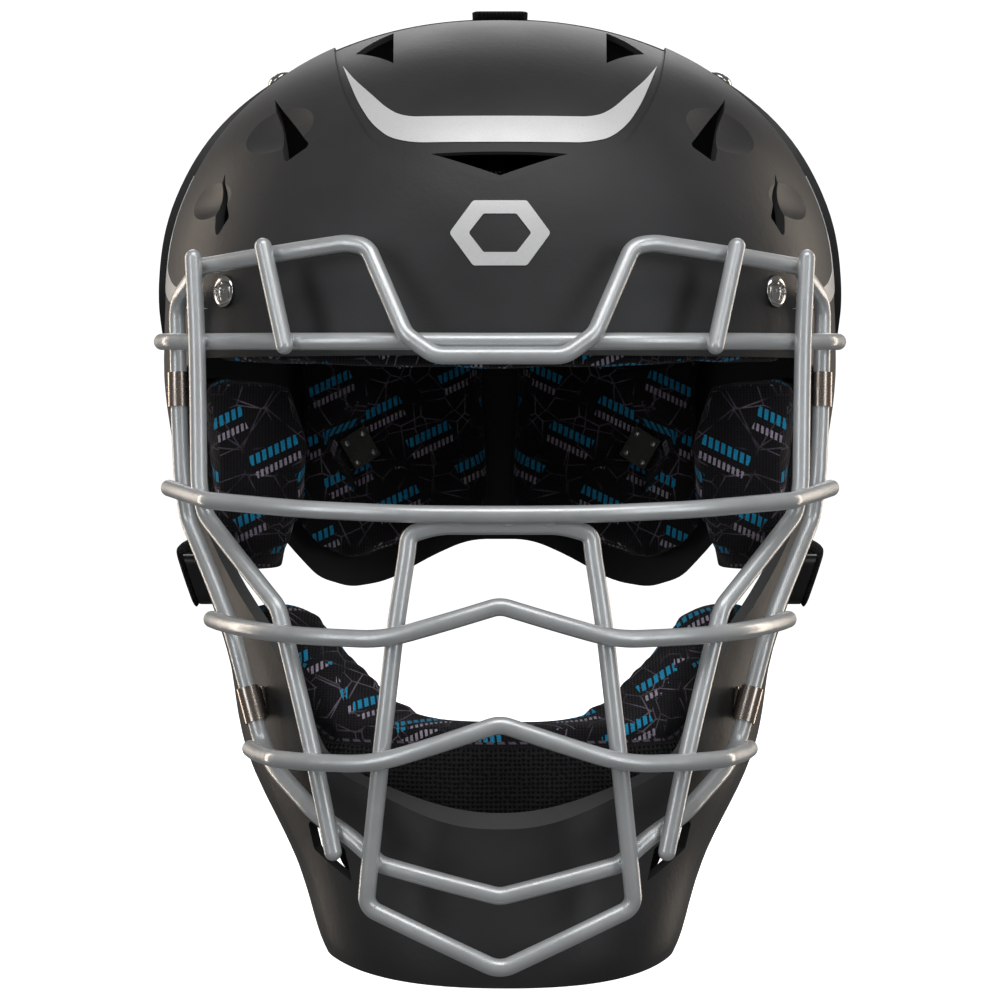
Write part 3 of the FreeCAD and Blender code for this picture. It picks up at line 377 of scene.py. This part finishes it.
def spacer_mesh(name):
    """Black spacer fabric with small holes."""
    graph = Graph(name)
    graph.set(specular=0.22, Sheen_Weight=0.15, Sheen_Roughness=0.45)
    cells = graph.node("TexVoronoi", {"Vector": graph.place(source="UV"), "Scale": 640.0,
                                      "Randomness": 0.25}, voronoi_dimensions="2D").outputs["Distance"]
    hole = graph.spread(cells, 0.18, 0.5)
    fuzz = graph.noise(1900, 2)
    thread = graph.mix(fuzz, (0.010, 0.010, 0.011), (0.028, 0.027, 0.028))
    # Near black in the holes and dark grey with fuzz on the threads around them: the near black in the holes
    # is painted shade.
    graph.base(graph.mix(hole, (0.003, 0.003, 0.003), thread))
    graph.rough(graph.spread(hole, 0, 1, 1.0, 0.8))
    graph.bump([(graph.noise(120, 2), 0.0008), (hole, 0.0004), (fuzz, 0.0001)])
    return graph.material


RIB_PITCH = 0.0014
PICK_PITCH = 0.0010


def ribbed_webbing(name):
    """Elastic webbing: ribs along the strap and fine picks across."""
    graph = Graph(name)
    graph.set(specular=0.25, Sheen_Weight=0.12, Sheen_Roughness=0.4)
    flat = graph.node("SeparateXYZ", {"Vector": graph.place(source="UV")})
    along, across = flat.outputs[0], flat.outputs[1]
    ribs = stripes(graph, across, RIB_PITCH)
    waved = graph.math("ADD", along, graph.math("MULTIPLY", ribs, 0.0003))
    picks = stripes(graph, waved, PICK_PITCH)
    weave = graph.math("MULTIPLY", graph.math("POWER", ribs, 0.6), graph.math("POWER", picks, 0.5))
    fuzz = graph.noise(2100, 2)
    thread = graph.mix(fuzz, (0.012, 0.012, 0.013), (0.034, 0.033, 0.034))
    # Near black where the weave is low, between ribs and picks, and the webbing's own dark grey on the raised
    # threads: painted shade in the grooves.
    graph.base(graph.mix(weave, (0.004, 0.004, 0.004), thread))
    graph.rough(graph.spread(weave, 0, 1, 0.95, 0.68))
    graph.bump([(weave, 0.00035), (fuzz, 0.00006)])
    return graph.material


def paint_frame():
    """Materials for the CAD nodes that keep their shapes."""
    shell = moulded_plastic("charcoal_shell", (0.035, 0.035, 0.0362), 0.40, 0.50)
    plate = moulded_plastic("charcoal_plate", (0.031, 0.031, 0.032), 0.42, 0.52)
    fitting = moulded_plastic("black_fitting", (0.012, 0.012, 0.012), 0.26, 0.36, 0.00002)
    smoky = moulded_plastic("smoky_fitting", (0.075, 0.075, 0.06), 0.16, 0.28, 0.00001)
    lacquer = silver_paint()
    chrome = polished_metal("chrome_screw", (0.82, 0.80, 0.77), 0.10)
    # The clips' colour is steel grey with a warm brown tint mixed in: the tint is a painted warm reflection.
    clip = polished_metal("clip_steel", (0.50, 0.43, 0.38), 0.20, 0.00002)
    zinc = polished_metal("zinc_nut", (0.62, 0.62, 0.60), 0.30)
    print_film = printed_film("silver_film", (0.96, 0.96, 0.95))
    chosen = {"front_shell": shell, "back_plate": plate, "strap_anchor_plates": smoky,
              "clip_nuts": zinc, "shell_nuts": zinc, "strap_rivets": zinc,
              "brow_screws": chrome, "crown_screws": chrome, "clip_screws": chrome,
              "crown_crescent": print_film, "brow_badge": print_film}
    endings = [("_wire", lacquer), ("_bar", lacquer), ("_clip", clip), ("_accent", print_film),
               ("_strap_anchor", fitting), ("_strap_slider", fitting)]
    for node, obj in nodes.items():
        material = chosen.get(node)
        for ending, finish in endings:
            if material is None and node.endswith(ending):
                material = finish
        if material is not None:
            obj.data.materials.clear()
            obj.data.materials.append(material)


# ------------------------------------------------------------------ mesh helpers
def surface_of(mesh):
    """A search tree over a mesh's faces, in the row frame."""
    return BVHTree.FromPolygons([vertex.co.copy() for vertex in mesh.vertices],
                                [tuple(face.vertices) for face in mesh.polygons])


def applied(obj):
    """Replaces the object's mesh with the one its modifiers make."""
    depsgraph = bpy.context.evaluated_depsgraph_get()
    mesh = bpy.data.meshes.new_from_object(obj.evaluated_get(depsgraph))
    obj.modifiers.clear()
    obj.data = mesh
    return mesh


def coordinates(mesh):
    flat = np.empty(len(mesh.vertices) * 3)
    mesh.vertices.foreach_get("co", flat)
    return flat.reshape(-1, 3)


def set_coordinates(mesh, points):
    mesh.vertices.foreach_set("co", np.asarray(points, float).ravel())
    mesh.update()


def relax(mesh, times):
    """Evens a mesh out, a number of times over."""
    work = bmesh.new()
    work.from_mesh(mesh)
    for _ in range(times):
        bmesh.ops.smooth_vert(work, verts=work.verts, factor=0.5,
                              use_axis_x=True, use_axis_y=True, use_axis_z=True)
    work.to_mesh(mesh)
    work.free()


def box_uv(mesh):
    """UVs in metres: each face drawn along the axis that it faces most."""
    layer = mesh.uv_layers.new(name="fabric")
    for face in mesh.polygons:
        weights = [abs(face.normal.x), abs(face.normal.y), abs(face.normal.z) * 0.8]
        axis = weights.index(max(weights))
        first, second = ((1, 2), (0, 2), (0, 1))[axis]
        for corner in face.loop_indices:
            place = mesh.vertices[mesh.loops[corner].vertex_index].co
            layer.data[corner].uv = (place[first], place[second])


def smooth_faces(mesh):
    mesh.polygons.foreach_set("use_smooth", [True] * len(mesh.polygons))


# ------------------------------------------------------------------ pads
WELD_REACH = 0.00002         # vertices this close become one
VOXEL = 0.0042               # cell size of a pad's even mesh
START_INSET = 0.0012         # how much smaller than the CAD pad the cloth starts
PRESSURE = 4.0
CLOTH_STIFFNESS = 12
CLOTH_BENDING = 0.4
SIM_FRAMES = 20
SWELL_INWARD = 0.0045        # the most a pad may swell towards the head
SWELL_SIDE = 0.0022          # the most at its rim
SWELL_OUTWARD = 0.0001       # and towards the hard shell
SIDE_PANEL = 0.0062          # height of the plain side panel, from the hard shell inwards
PLAIN_EDGE = -0.0008         # metres past the seam where the plain material takes over
SEAM_DEPTH = 0.0011
SEAM_WIDTH = 0.0022
PLATE_HALF = 0.0073          # half the width of a strap anchor's seat in the rear pads
PLATE_REST = -0.0017         # the seat's floor, from the anchor's face
TUCK_SLOPE = 0.9             # how steeply the cover rises from that seat
TUCK_REACH = 0.008           # how far beside the seat the cover is pulled down
TUCK_DEPTH = 0.006           # and how far below the seat's face
MIRROR_GAP = 0.0003          # least distance between a left pad and the middle plane

DOME_MIDDLE = 0.02           # height of the point that the dome's pads look at
LEVEL_SHARE = 0.12           # share of the fall that the way outward keeps below that height
FACES_SHELL = 0.45           # cosines between a pad face's normal and the way to the shell
FACES_ASIDE = -0.3

# Pads made by simulation: piece, CAD node and body.
PADS = [
    ("brow_cushion", "brow_pad", "shell"),
    ("crown_cushion", "crown_pad", "shell"),
    ("chin_cushion", "chin_pad", "shell"),
    ("left_cheek_cushion", "left_cheek_pad", "shell"),
    ("left_rear_cushion", "left_rear_pad", "back_plate"),
    ("rear_top_cushion", "rear_top_pad", "back_plate"),
]
# Each left pad's mirror copy: piece and CAD node.
MIRRORED_PADS = {"left_cheek_cushion": ("right_cheek_cushion", "right_cheek_pad"),
                 "left_rear_cushion": ("right_rear_cushion", "right_rear_pad")}
# The chin pad's upper edge in the side view (y, z), in millimetres.
CHIN_EDGE = [(-20, -60), (-50, -61), (-68, -75), (-92, -96), (-145, -106)]
CHIN_PRINT = (0.004, 0.019)  # how far the printed knit reaches below that edge, in front and at the rear
CHIN_SPAN = (-0.115, -0.045)  # and the y of those two places
BROW_PRINT = 0.029           # the brow pad is printed all round below this height


def outward(point):
    """From the head's middle towards the shell. Low down it is nearly level."""
    rise = point.z - DOME_MIDDLE
    return Vector((point.x, point.y, max(rise, rise * LEVEL_SHARE))).normalized()


def prepared_pad(piece, node):
    """The CAD pad as an even, slightly smaller and softer mesh, ready to swell."""
    source = nodes[node].data
    work = bmesh.new()
    work.from_mesh(source)
    bmesh.ops.remove_doubles(work, verts=work.verts, dist=WELD_REACH)
    mesh = bpy.data.meshes.new(piece)
    work.to_mesh(mesh)
    work.free()
    obj = add_object(piece, mesh)
    remesh = obj.modifiers.new("remesh", "REMESH")
    remesh.mode = "VOXEL"
    remesh.voxel_size = VOXEL
    mesh = applied(obj)
    relax(mesh, 3)
    cling(mesh, surface_of(source))
    relax(mesh, 1)
    normals = np.array([vertex.normal[:] for vertex in mesh.vertices])
    set_coordinates(mesh, coordinates(mesh) - normals * START_INSET)
    return obj


def cling(mesh, tree):
    """Lays every vertex on the nearest point of a surface."""
    for vertex in mesh.vertices:
        vertex.co = tree.find_nearest(vertex.co)[0]
    mesh.update()


def swell(objects):
    """Inflates the pads together with Blender's cloth, then applies the result."""
    for obj in objects:
        cloth = obj.modifiers.new("cloth", "CLOTH")
        cloth.settings.use_pressure = True
        cloth.settings.uniform_pressure_force = PRESSURE
        cloth.settings.effector_weights.gravity = 0
        cloth.settings.quality = 5
        cloth.settings.tension_stiffness = CLOTH_STIFFNESS
        cloth.settings.compression_stiffness = CLOTH_STIFFNESS
        cloth.settings.bending_stiffness = CLOTH_BENDING
        cloth.collision_settings.use_collision = False
        cloth.point_cache.frame_end = SIM_FRAMES
    for number in range(1, SIM_FRAMES + 1):
        scene.frame_set(number)
    cap = START_INSET + SWELL_INWARD
    for obj in objects:
        before = coordinates(obj.data)
        mesh = applied(obj)
        move = coordinates(mesh) - before
        length = np.linalg.norm(move, axis=1, keepdims=True)
        set_coordinates(mesh, before + move * np.minimum(1.0, cap / np.maximum(length, 1e-9)))
    scene.frame_set(1)


def hold_clear(mesh, solid):
    """Keeps the swollen pad in its room: close to the CAD pad by the shell, freer towards the head."""
    for vertex in mesh.vertices:
        near, normal, _, distance = solid.find_nearest(vertex.co)
        away = vertex.co - near
        if away.dot(normal) <= 0:
            continue
        facing = normal.dot(outward(near))
        if facing > FACES_SHELL:
            allowed = SWELL_OUTWARD
        elif facing > FACES_ASIDE:
            allowed = SWELL_SIDE
        else:
            allowed = SWELL_INWARD
        if distance > allowed:
            vertex.co = near + away * (allowed / distance)
    mesh.update()


def edge_distance(point, edge):
    """Distance in the side view from a point to a polyline, in metres."""
    best = 1.0
    for (y0, z0), (y1, z1) in zip(edge, edge[1:]):
        start = Vector((y0 * MM, z0 * MM))
        run = Vector((y1 * MM, z1 * MM)) - start
        here = Vector((point.y, point.z)) - start
        share = min(1.0, max(0.0, here.dot(run) / run.length_squared))
        best = min(best, (here - run * share).length)
    return best


def panel_band(mesh, node, hard):
    """Per vertex: metres past the seam, positive on the printed face and negative on the plain side."""
    values = []
    for vertex in mesh.vertices:
        if node == "chin_pad":
            share = (vertex.co.y - CHIN_SPAN[0]) / (CHIN_SPAN[1] - CHIN_SPAN[0])
            reach = CHIN_PRINT[0] + (CHIN_PRINT[1] - CHIN_PRINT[0]) * min(1.0, max(0.0, share))
            values.append(reach - edge_distance(vertex.co, CHIN_EDGE))
            continue
        depth = hard.find_nearest(vertex.co)[3] - SIDE_PANEL
        values.append(max(depth, BROW_PRINT - vertex.co.z) if node == "brow_pad" else depth)
    return values


def sew(mesh, band):
    """Pulls the fabric in along the seam."""
    normals = np.array([vertex.normal[:] for vertex in mesh.vertices])
    depth = SEAM_DEPTH * np.exp(-(np.array(band) / SEAM_WIDTH) ** 2)
    set_coordinates(mesh, coordinates(mesh) - normals * depth[:, None])


def plate_frame(node, side):
    """The middle of a square plate's face towards the head, and its two edge directions and normal."""
    mesh = nodes[node].data
    faces = [face for face in mesh.polygons if face.center.x * side > 0]
    inner = [face for face in faces if face.normal.dot(face.center) < 0]
    normal = max(inner, key=lambda face: face.area).normal
    rim = [face for face in faces if abs(face.normal.dot(normal)) < 0.1]
    first = max(rim, key=lambda face: face.area).normal
    axes = (first, normal.cross(first), normal)
    spans = []
    for axis in axes:
        reach = [mesh.vertices[index].co.dot(axis) for face in faces for index in face.vertices]
        spans.append((min(reach), max(reach)))
    middle = [(low + high) / 2 for low, high in spans[:2]] + [spans[2][1]]
    return sum((axis * length for axis, length in zip(axes, middle)), Vector()), axes


def tuck_in(mesh, node, side):
    """Pulls a pad's face down round the square plate that is set into it."""
    middle, (first, second, normal) = plate_frame(node, side)
    for vertex in mesh.vertices:
        away = vertex.co - middle
        beside = max(abs(away.dot(first)), abs(away.dot(second)))
        height = away.dot(normal)
        room = PLATE_REST + max(0.0, beside - PLATE_HALF) * TUCK_SLOPE
        if -TUCK_DEPTH < height and height > room and beside < PLATE_HALF + TUCK_REACH:
            vertex.co -= normal * (height - room)
    mesh.update()


def finish_pad(obj, node, hard, knit, plain):
    """Subdivision, seam, UVs and the panel attribute."""
    divide = obj.modifiers.new("divide", "SUBSURF")
    divide.levels = 1
    divide.render_levels = 1
    mesh = applied(obj)
    if node == "left_rear_pad":
        tuck_in(mesh, "strap_anchor_plates", -1)
    if node.startswith("left_"):
        points = coordinates(mesh)
        points[:, 0] = np.minimum(points[:, 0], -MIRROR_GAP)
        set_coordinates(mesh, points)
    band = panel_band(mesh, node, hard)
    sew(mesh, band)
    attribute = mesh.attributes.new("band", "FLOAT", "POINT")
    attribute.data.foreach_set("value", band)
    box_uv(mesh)
    smooth_faces(mesh)
    mesh.materials.clear()
    mesh.materials.append(knit)
    mesh.materials.append(plain)
    for face in mesh.polygons:
        if max(band[index] for index in face.vertices) < PLAIN_EDGE:
            face.material_index = 1


def register_pad(obj, node, body):
    """Hides the CAD pad that this stands for and puts the piece on the body it rides on."""
    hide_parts(node)
    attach(obj, body)


def mirrored_copy(obj, name):
    """The object's mirror image in the middle plane."""
    mesh = obj.data.copy()
    mesh.name = name
    twin = add_object(name, mesh)
    points = coordinates(mesh)
    points[:, 0] *= -1
    set_coordinates(mesh, points)
    mesh.flip_normals()
    return twin


def make_pads():
    knit = printed_knit("printed_knit")
    plain = spacer_mesh("spacer_mesh")
    hard = {"shell": surface_of(nodes["front_shell"].data),
            "back_plate": surface_of(nodes["back_plate"].data)}
    made = [(prepared_pad(piece, node), node, body) for piece, node, body in PADS]
    swell([obj for obj, _, _ in made])
    for obj, node, body in made:
        hold_clear(obj.data, surface_of(nodes[node].data))
        relax(obj.data, 1)
        finish_pad(obj, node, hard[body], knit, plain)
        if obj.name in MIRRORED_PADS:
            twin_name, twin_node = MIRRORED_PADS[obj.name]
            register_pad(mirrored_copy(obj, twin_name), twin_node, body)
        register_pad(obj, node, body)


# ------------------------------------------------------------------ straps
STRAP_UPPER = [(-14, -43), (30, -40), (94, -17)]      # edges in the side view (y, z), in millimetres
STRAP_LOWER = [(-14, -65), (30, -62), (94, -38)]
STRAP_TIP = 4.0                                       # radius of the rounded front end
STRAP_THICKNESS = 0.0017
STRAP_END_GAP = 0.4                                   # a side strap's room at each end, in millimetres
STRAP_EDGE_GAP = 0.3                                  # and at each edge
TOP_END_GAP = 0.0004                                  # the same for the top strap, in metres
TOP_EDGE_GAP = 0.0003
RIBBON_EASE = 0.00045                                 # how far a ribbon's rim is drawn in
RIBBON_HALF_COLUMNS = 6                               # faces from a ribbon's middle line to its edge
SIDE_STATIONS = 40                                    # faces along a side strap
TOP_STATIONS = 36                                     # and along the top strap
CORNER_STEPS = (-6, -3, 0, 3, 6)                      # where a corner's height is averaged, in millimetres
SEARCH_REACH = 0.3


def height_at(edge, y):
    """A polyline's height at y, with its corner eased."""
    total = 0.0
    for step in CORNER_STEPS:
        place = min(max(y + step, edge[0][0]), edge[-1][0])
        for (y0, z0), (y1, z1) in zip(edge, edge[1:]):
            if place <= y1:
                total += z0 + (z1 - z0) * (place - y0) / (y1 - y0)
                break
    return total / len(CORNER_STEPS)


def ribbon(name, rows, material):
    """A strap from rows of (place, outward normal), with a thickness, soft edges and UVs in metres."""
    count, width = len(rows), len(rows[0])
    mesh = bpy.data.meshes.new(name)
    work = bmesh.new()
    layer = work.loops.layers.uv.new("fabric")
    across = [0.0]
    for (a, _), (b, _) in zip(rows[count // 2], rows[count // 2][1:]):
        across.append(across[-1] + (b - a).length)
    along = [0.0]
    for first, second in zip(rows, rows[1:]):
        along.append(along[-1] + (second[width // 2][0] - first[width // 2][0]).length)
    grid = {}
    for side, depth in (("top", 0.0), ("under", STRAP_THICKNESS)):
        for i, row in enumerate(rows):
            for j, (place, normal) in enumerate(row):
                rim = j in (0, width - 1) or i in (0, count - 1)
                ease = RIBBON_EASE if rim else 0.0
                inset = depth - ease if side == "under" else depth + ease
                grid[side, i, j] = work.verts.new(place - normal * inset)

    def face(corners):
        made = work.faces.new([grid[corner] for corner in corners])
        for loop, (_, i, j) in zip(made.loops, corners):
            loop[layer].uv = (along[i], across[j])

    for i in range(count - 1):
        for j in range(width - 1):
            for side in ("top", "under"):
                face([(side, i, j), (side, i + 1, j), (side, i + 1, j + 1), (side, i, j + 1)])
    for i in range(count - 1):
        for j in (0, width - 1):
            face([("under", i, j), ("under", i + 1, j), ("top", i + 1, j), ("top", i, j)])
    for j in range(width - 1):
        for i in (0, count - 1):
            face([("top", i, j), ("top", i, j + 1), ("under", i, j + 1), ("under", i, j)])
    bmesh.ops.recalc_face_normals(work, faces=work.faces)
    work.to_mesh(mesh)
    work.free()
    obj = add_object(name, mesh)
    divide = obj.modifiers.new("divide", "SUBSURF")
    divide.levels = 1
    divide.render_levels = 1
    mesh = applied(obj)
    smooth_faces(mesh)
    mesh.materials.clear()
    mesh.materials.append(material)
    return obj


def settle(tree, start, direction):
    """Where a line from outside first meets a surface, with the normal turned towards the line's start."""
    place, normal, _, _ = tree.ray_cast(start, direction)
    if place is None:
        place, normal, _, _ = tree.find_nearest(start + direction * SEARCH_REACH * 0.6)
    if normal.dot(direction) > 0:
        normal = -normal
    return place, normal


def side_strap_rows(tree, sign):
    """Rows of places on a side strap's outer face, from its rounded front end to the back plate."""
    rows = []
    first, last = STRAP_UPPER[0][0] + STRAP_END_GAP, STRAP_UPPER[-1][0] - STRAP_END_GAP
    for i in range(SIDE_STATIONS + 1):
        y = first + (last - first) * i / SIDE_STATIONS
        upper, lower = height_at(STRAP_UPPER, y), height_at(STRAP_LOWER, y)
        half = (upper - lower) / 2 - STRAP_EDGE_GAP
        middle = (upper + lower) / 2
        into_tip = max(0.0, STRAP_TIP - (y - first)) / STRAP_TIP
        half -= STRAP_TIP * (1.0 - math.sqrt(max(0.0, 1.0 - into_tip ** 2)))
        row = []
        for j in range(2 * RIBBON_HALF_COLUMNS + 1):
            z = middle + half * (1.0 - j / RIBBON_HALF_COLUMNS)
            row.append(settle(tree, Vector((sign * SEARCH_REACH, y * MM, z * MM)), Vector((-sign, 0, 0))))
        rows.append(row)
    return rows


def top_strap_rows(tree, low, high):
    """Rows of places on the top strap's outer face, between the corners of its box."""
    rows = []
    for i in range(TOP_STATIONS + 1):
        y = low.y + TOP_END_GAP + (high.y - low.y - 2 * TOP_END_GAP) * i / TOP_STATIONS
        row = []
        for j in range(2 * RIBBON_HALF_COLUMNS + 1):
            x = (high.x - TOP_EDGE_GAP) * (j / RIBBON_HALF_COLUMNS - 1.0)
            row.append(settle(tree, Vector((x, y, SEARCH_REACH)), Vector((0, 0, -1))))
        rows.append(row)
    return rows


def make_straps():
    webbing = ribbed_webbing("elastic_webbing")
    for side, sign in (("left", -1), ("right", 1)):
        tree = surface_of(nodes[side + "_strap"].data)
        strap = ribbon(side + "_webbing", side_strap_rows(tree, sign), webbing)
        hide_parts(side + "_strap")
        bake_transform(strap)
    low, high = [Vector(corner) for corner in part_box("top_strap")]
    strap = ribbon("top_webbing", top_strap_rows(surface_of(nodes["top_strap"].data), low, high), webbing)
    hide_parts("top_strap")
    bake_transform(strap)


# ------------------------------------------------------------------ screws
SCREW_WELD_REACH = 0.00001   # vertices this close become one
CREASE = math.radians(42)    # edges sharper than this stay sharp


def make_screws():
    """The chrome screws with their domed heads smoothed across the rings of the CAD heads."""
    for node in ("brow_screws", "crown_screws", "clip_screws"):
        mesh = nodes[node].data.copy()
        obj = add_object(node + "_polished", mesh)
        work = bmesh.new()
        work.from_mesh(mesh)
        bmesh.ops.remove_doubles(work, verts=work.verts, dist=SCREW_WELD_REACH)
        work.to_mesh(mesh)
        work.free()
        smooth_faces(mesh)
        mesh.set_sharp_from_angle(angle=CREASE)
        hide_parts(node)
        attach(obj, "shell")


# ------------------------------------------------------------------ weld beads
# Each wire and the wires that get a bead where their surfaces come close to it.
WELDED = {
    "frame_wire": ["brow_bar", "nose_bar", "left_upright_wire", "right_upright_wire", "nose_loop_wire"],
    "brow_bar": ["left_upright_wire", "right_upright_wire", "left_strut_wire", "right_strut_wire"],
    "eye_bar": ["nose_loop_wire"],
    "nose_bar": ["left_upright_wire", "right_upright_wire", "nose_loop_wire"],
    "mouth_bar": ["left_upright_wire", "right_upright_wire", "nose_loop_wire"],
}
TOUCHING = 0.0007            # surfaces this close get a bead
WELD_SPACING = 0.012         # touching places this close share a bead
WELD_RADIUS = 0.0017
BEAD_STRETCH = Vector((1.5, 1.15, 1.5))
RIPPLE = 0.06                # height of the bead's ripples, as a share of its size
RIPPLE_ACROSS = 3800         # and how fast they follow each other, in radians a metre
RIPPLE_UP = 3300


def weld_points(first, second):
    """Middles of the places where two wires' surfaces come close."""
    tree = surface_of(nodes[second].data)
    groups = []
    for vertex in nodes[first].data.vertices:
        near, _, _, distance = tree.find_nearest(vertex.co)
        if distance > TOUCHING:
            continue
        middle = (vertex.co + near) / 2
        for group in groups:
            if (group[0] - middle).length < WELD_SPACING:
                group.append(middle)
                break
        else:
            groups.append([middle])
    return [sum(group, Vector()) / len(group) for group in groups]


def make_welds():
    """Small flattened beads with a rippled skin, one at each place where two wires come close."""
    work = bmesh.new()
    crossings = [(first, second) for first, others in WELDED.items() for second in others]
    places = [place for first, second in crossings for place in weld_points(first, second)]
    for number, place in enumerate(places):
        made = bmesh.ops.create_icosphere(work, subdivisions=3, radius=WELD_RADIUS)["verts"]
        for vertex in made:
            wave = math.sin(vertex.co.x * RIPPLE_ACROSS + number) * math.cos(vertex.co.z * RIPPLE_UP)
            vertex.co = vertex.co * BEAD_STRETCH * (1.0 + RIPPLE * wave) + place
    mesh = bpy.data.meshes.new("weld_beads")
    work.to_mesh(mesh)
    work.free()
    smooth_faces(mesh)
    mesh.materials.append(nodes["frame_wire"].data.materials[0])
    obj = add_object("weld_beads", mesh)
    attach(obj, "shell")


add_camera()
add_softboxes()
add_world()
add_floor()
paint_frame()
make_pads()
make_straps()
make_screws()
make_welds()
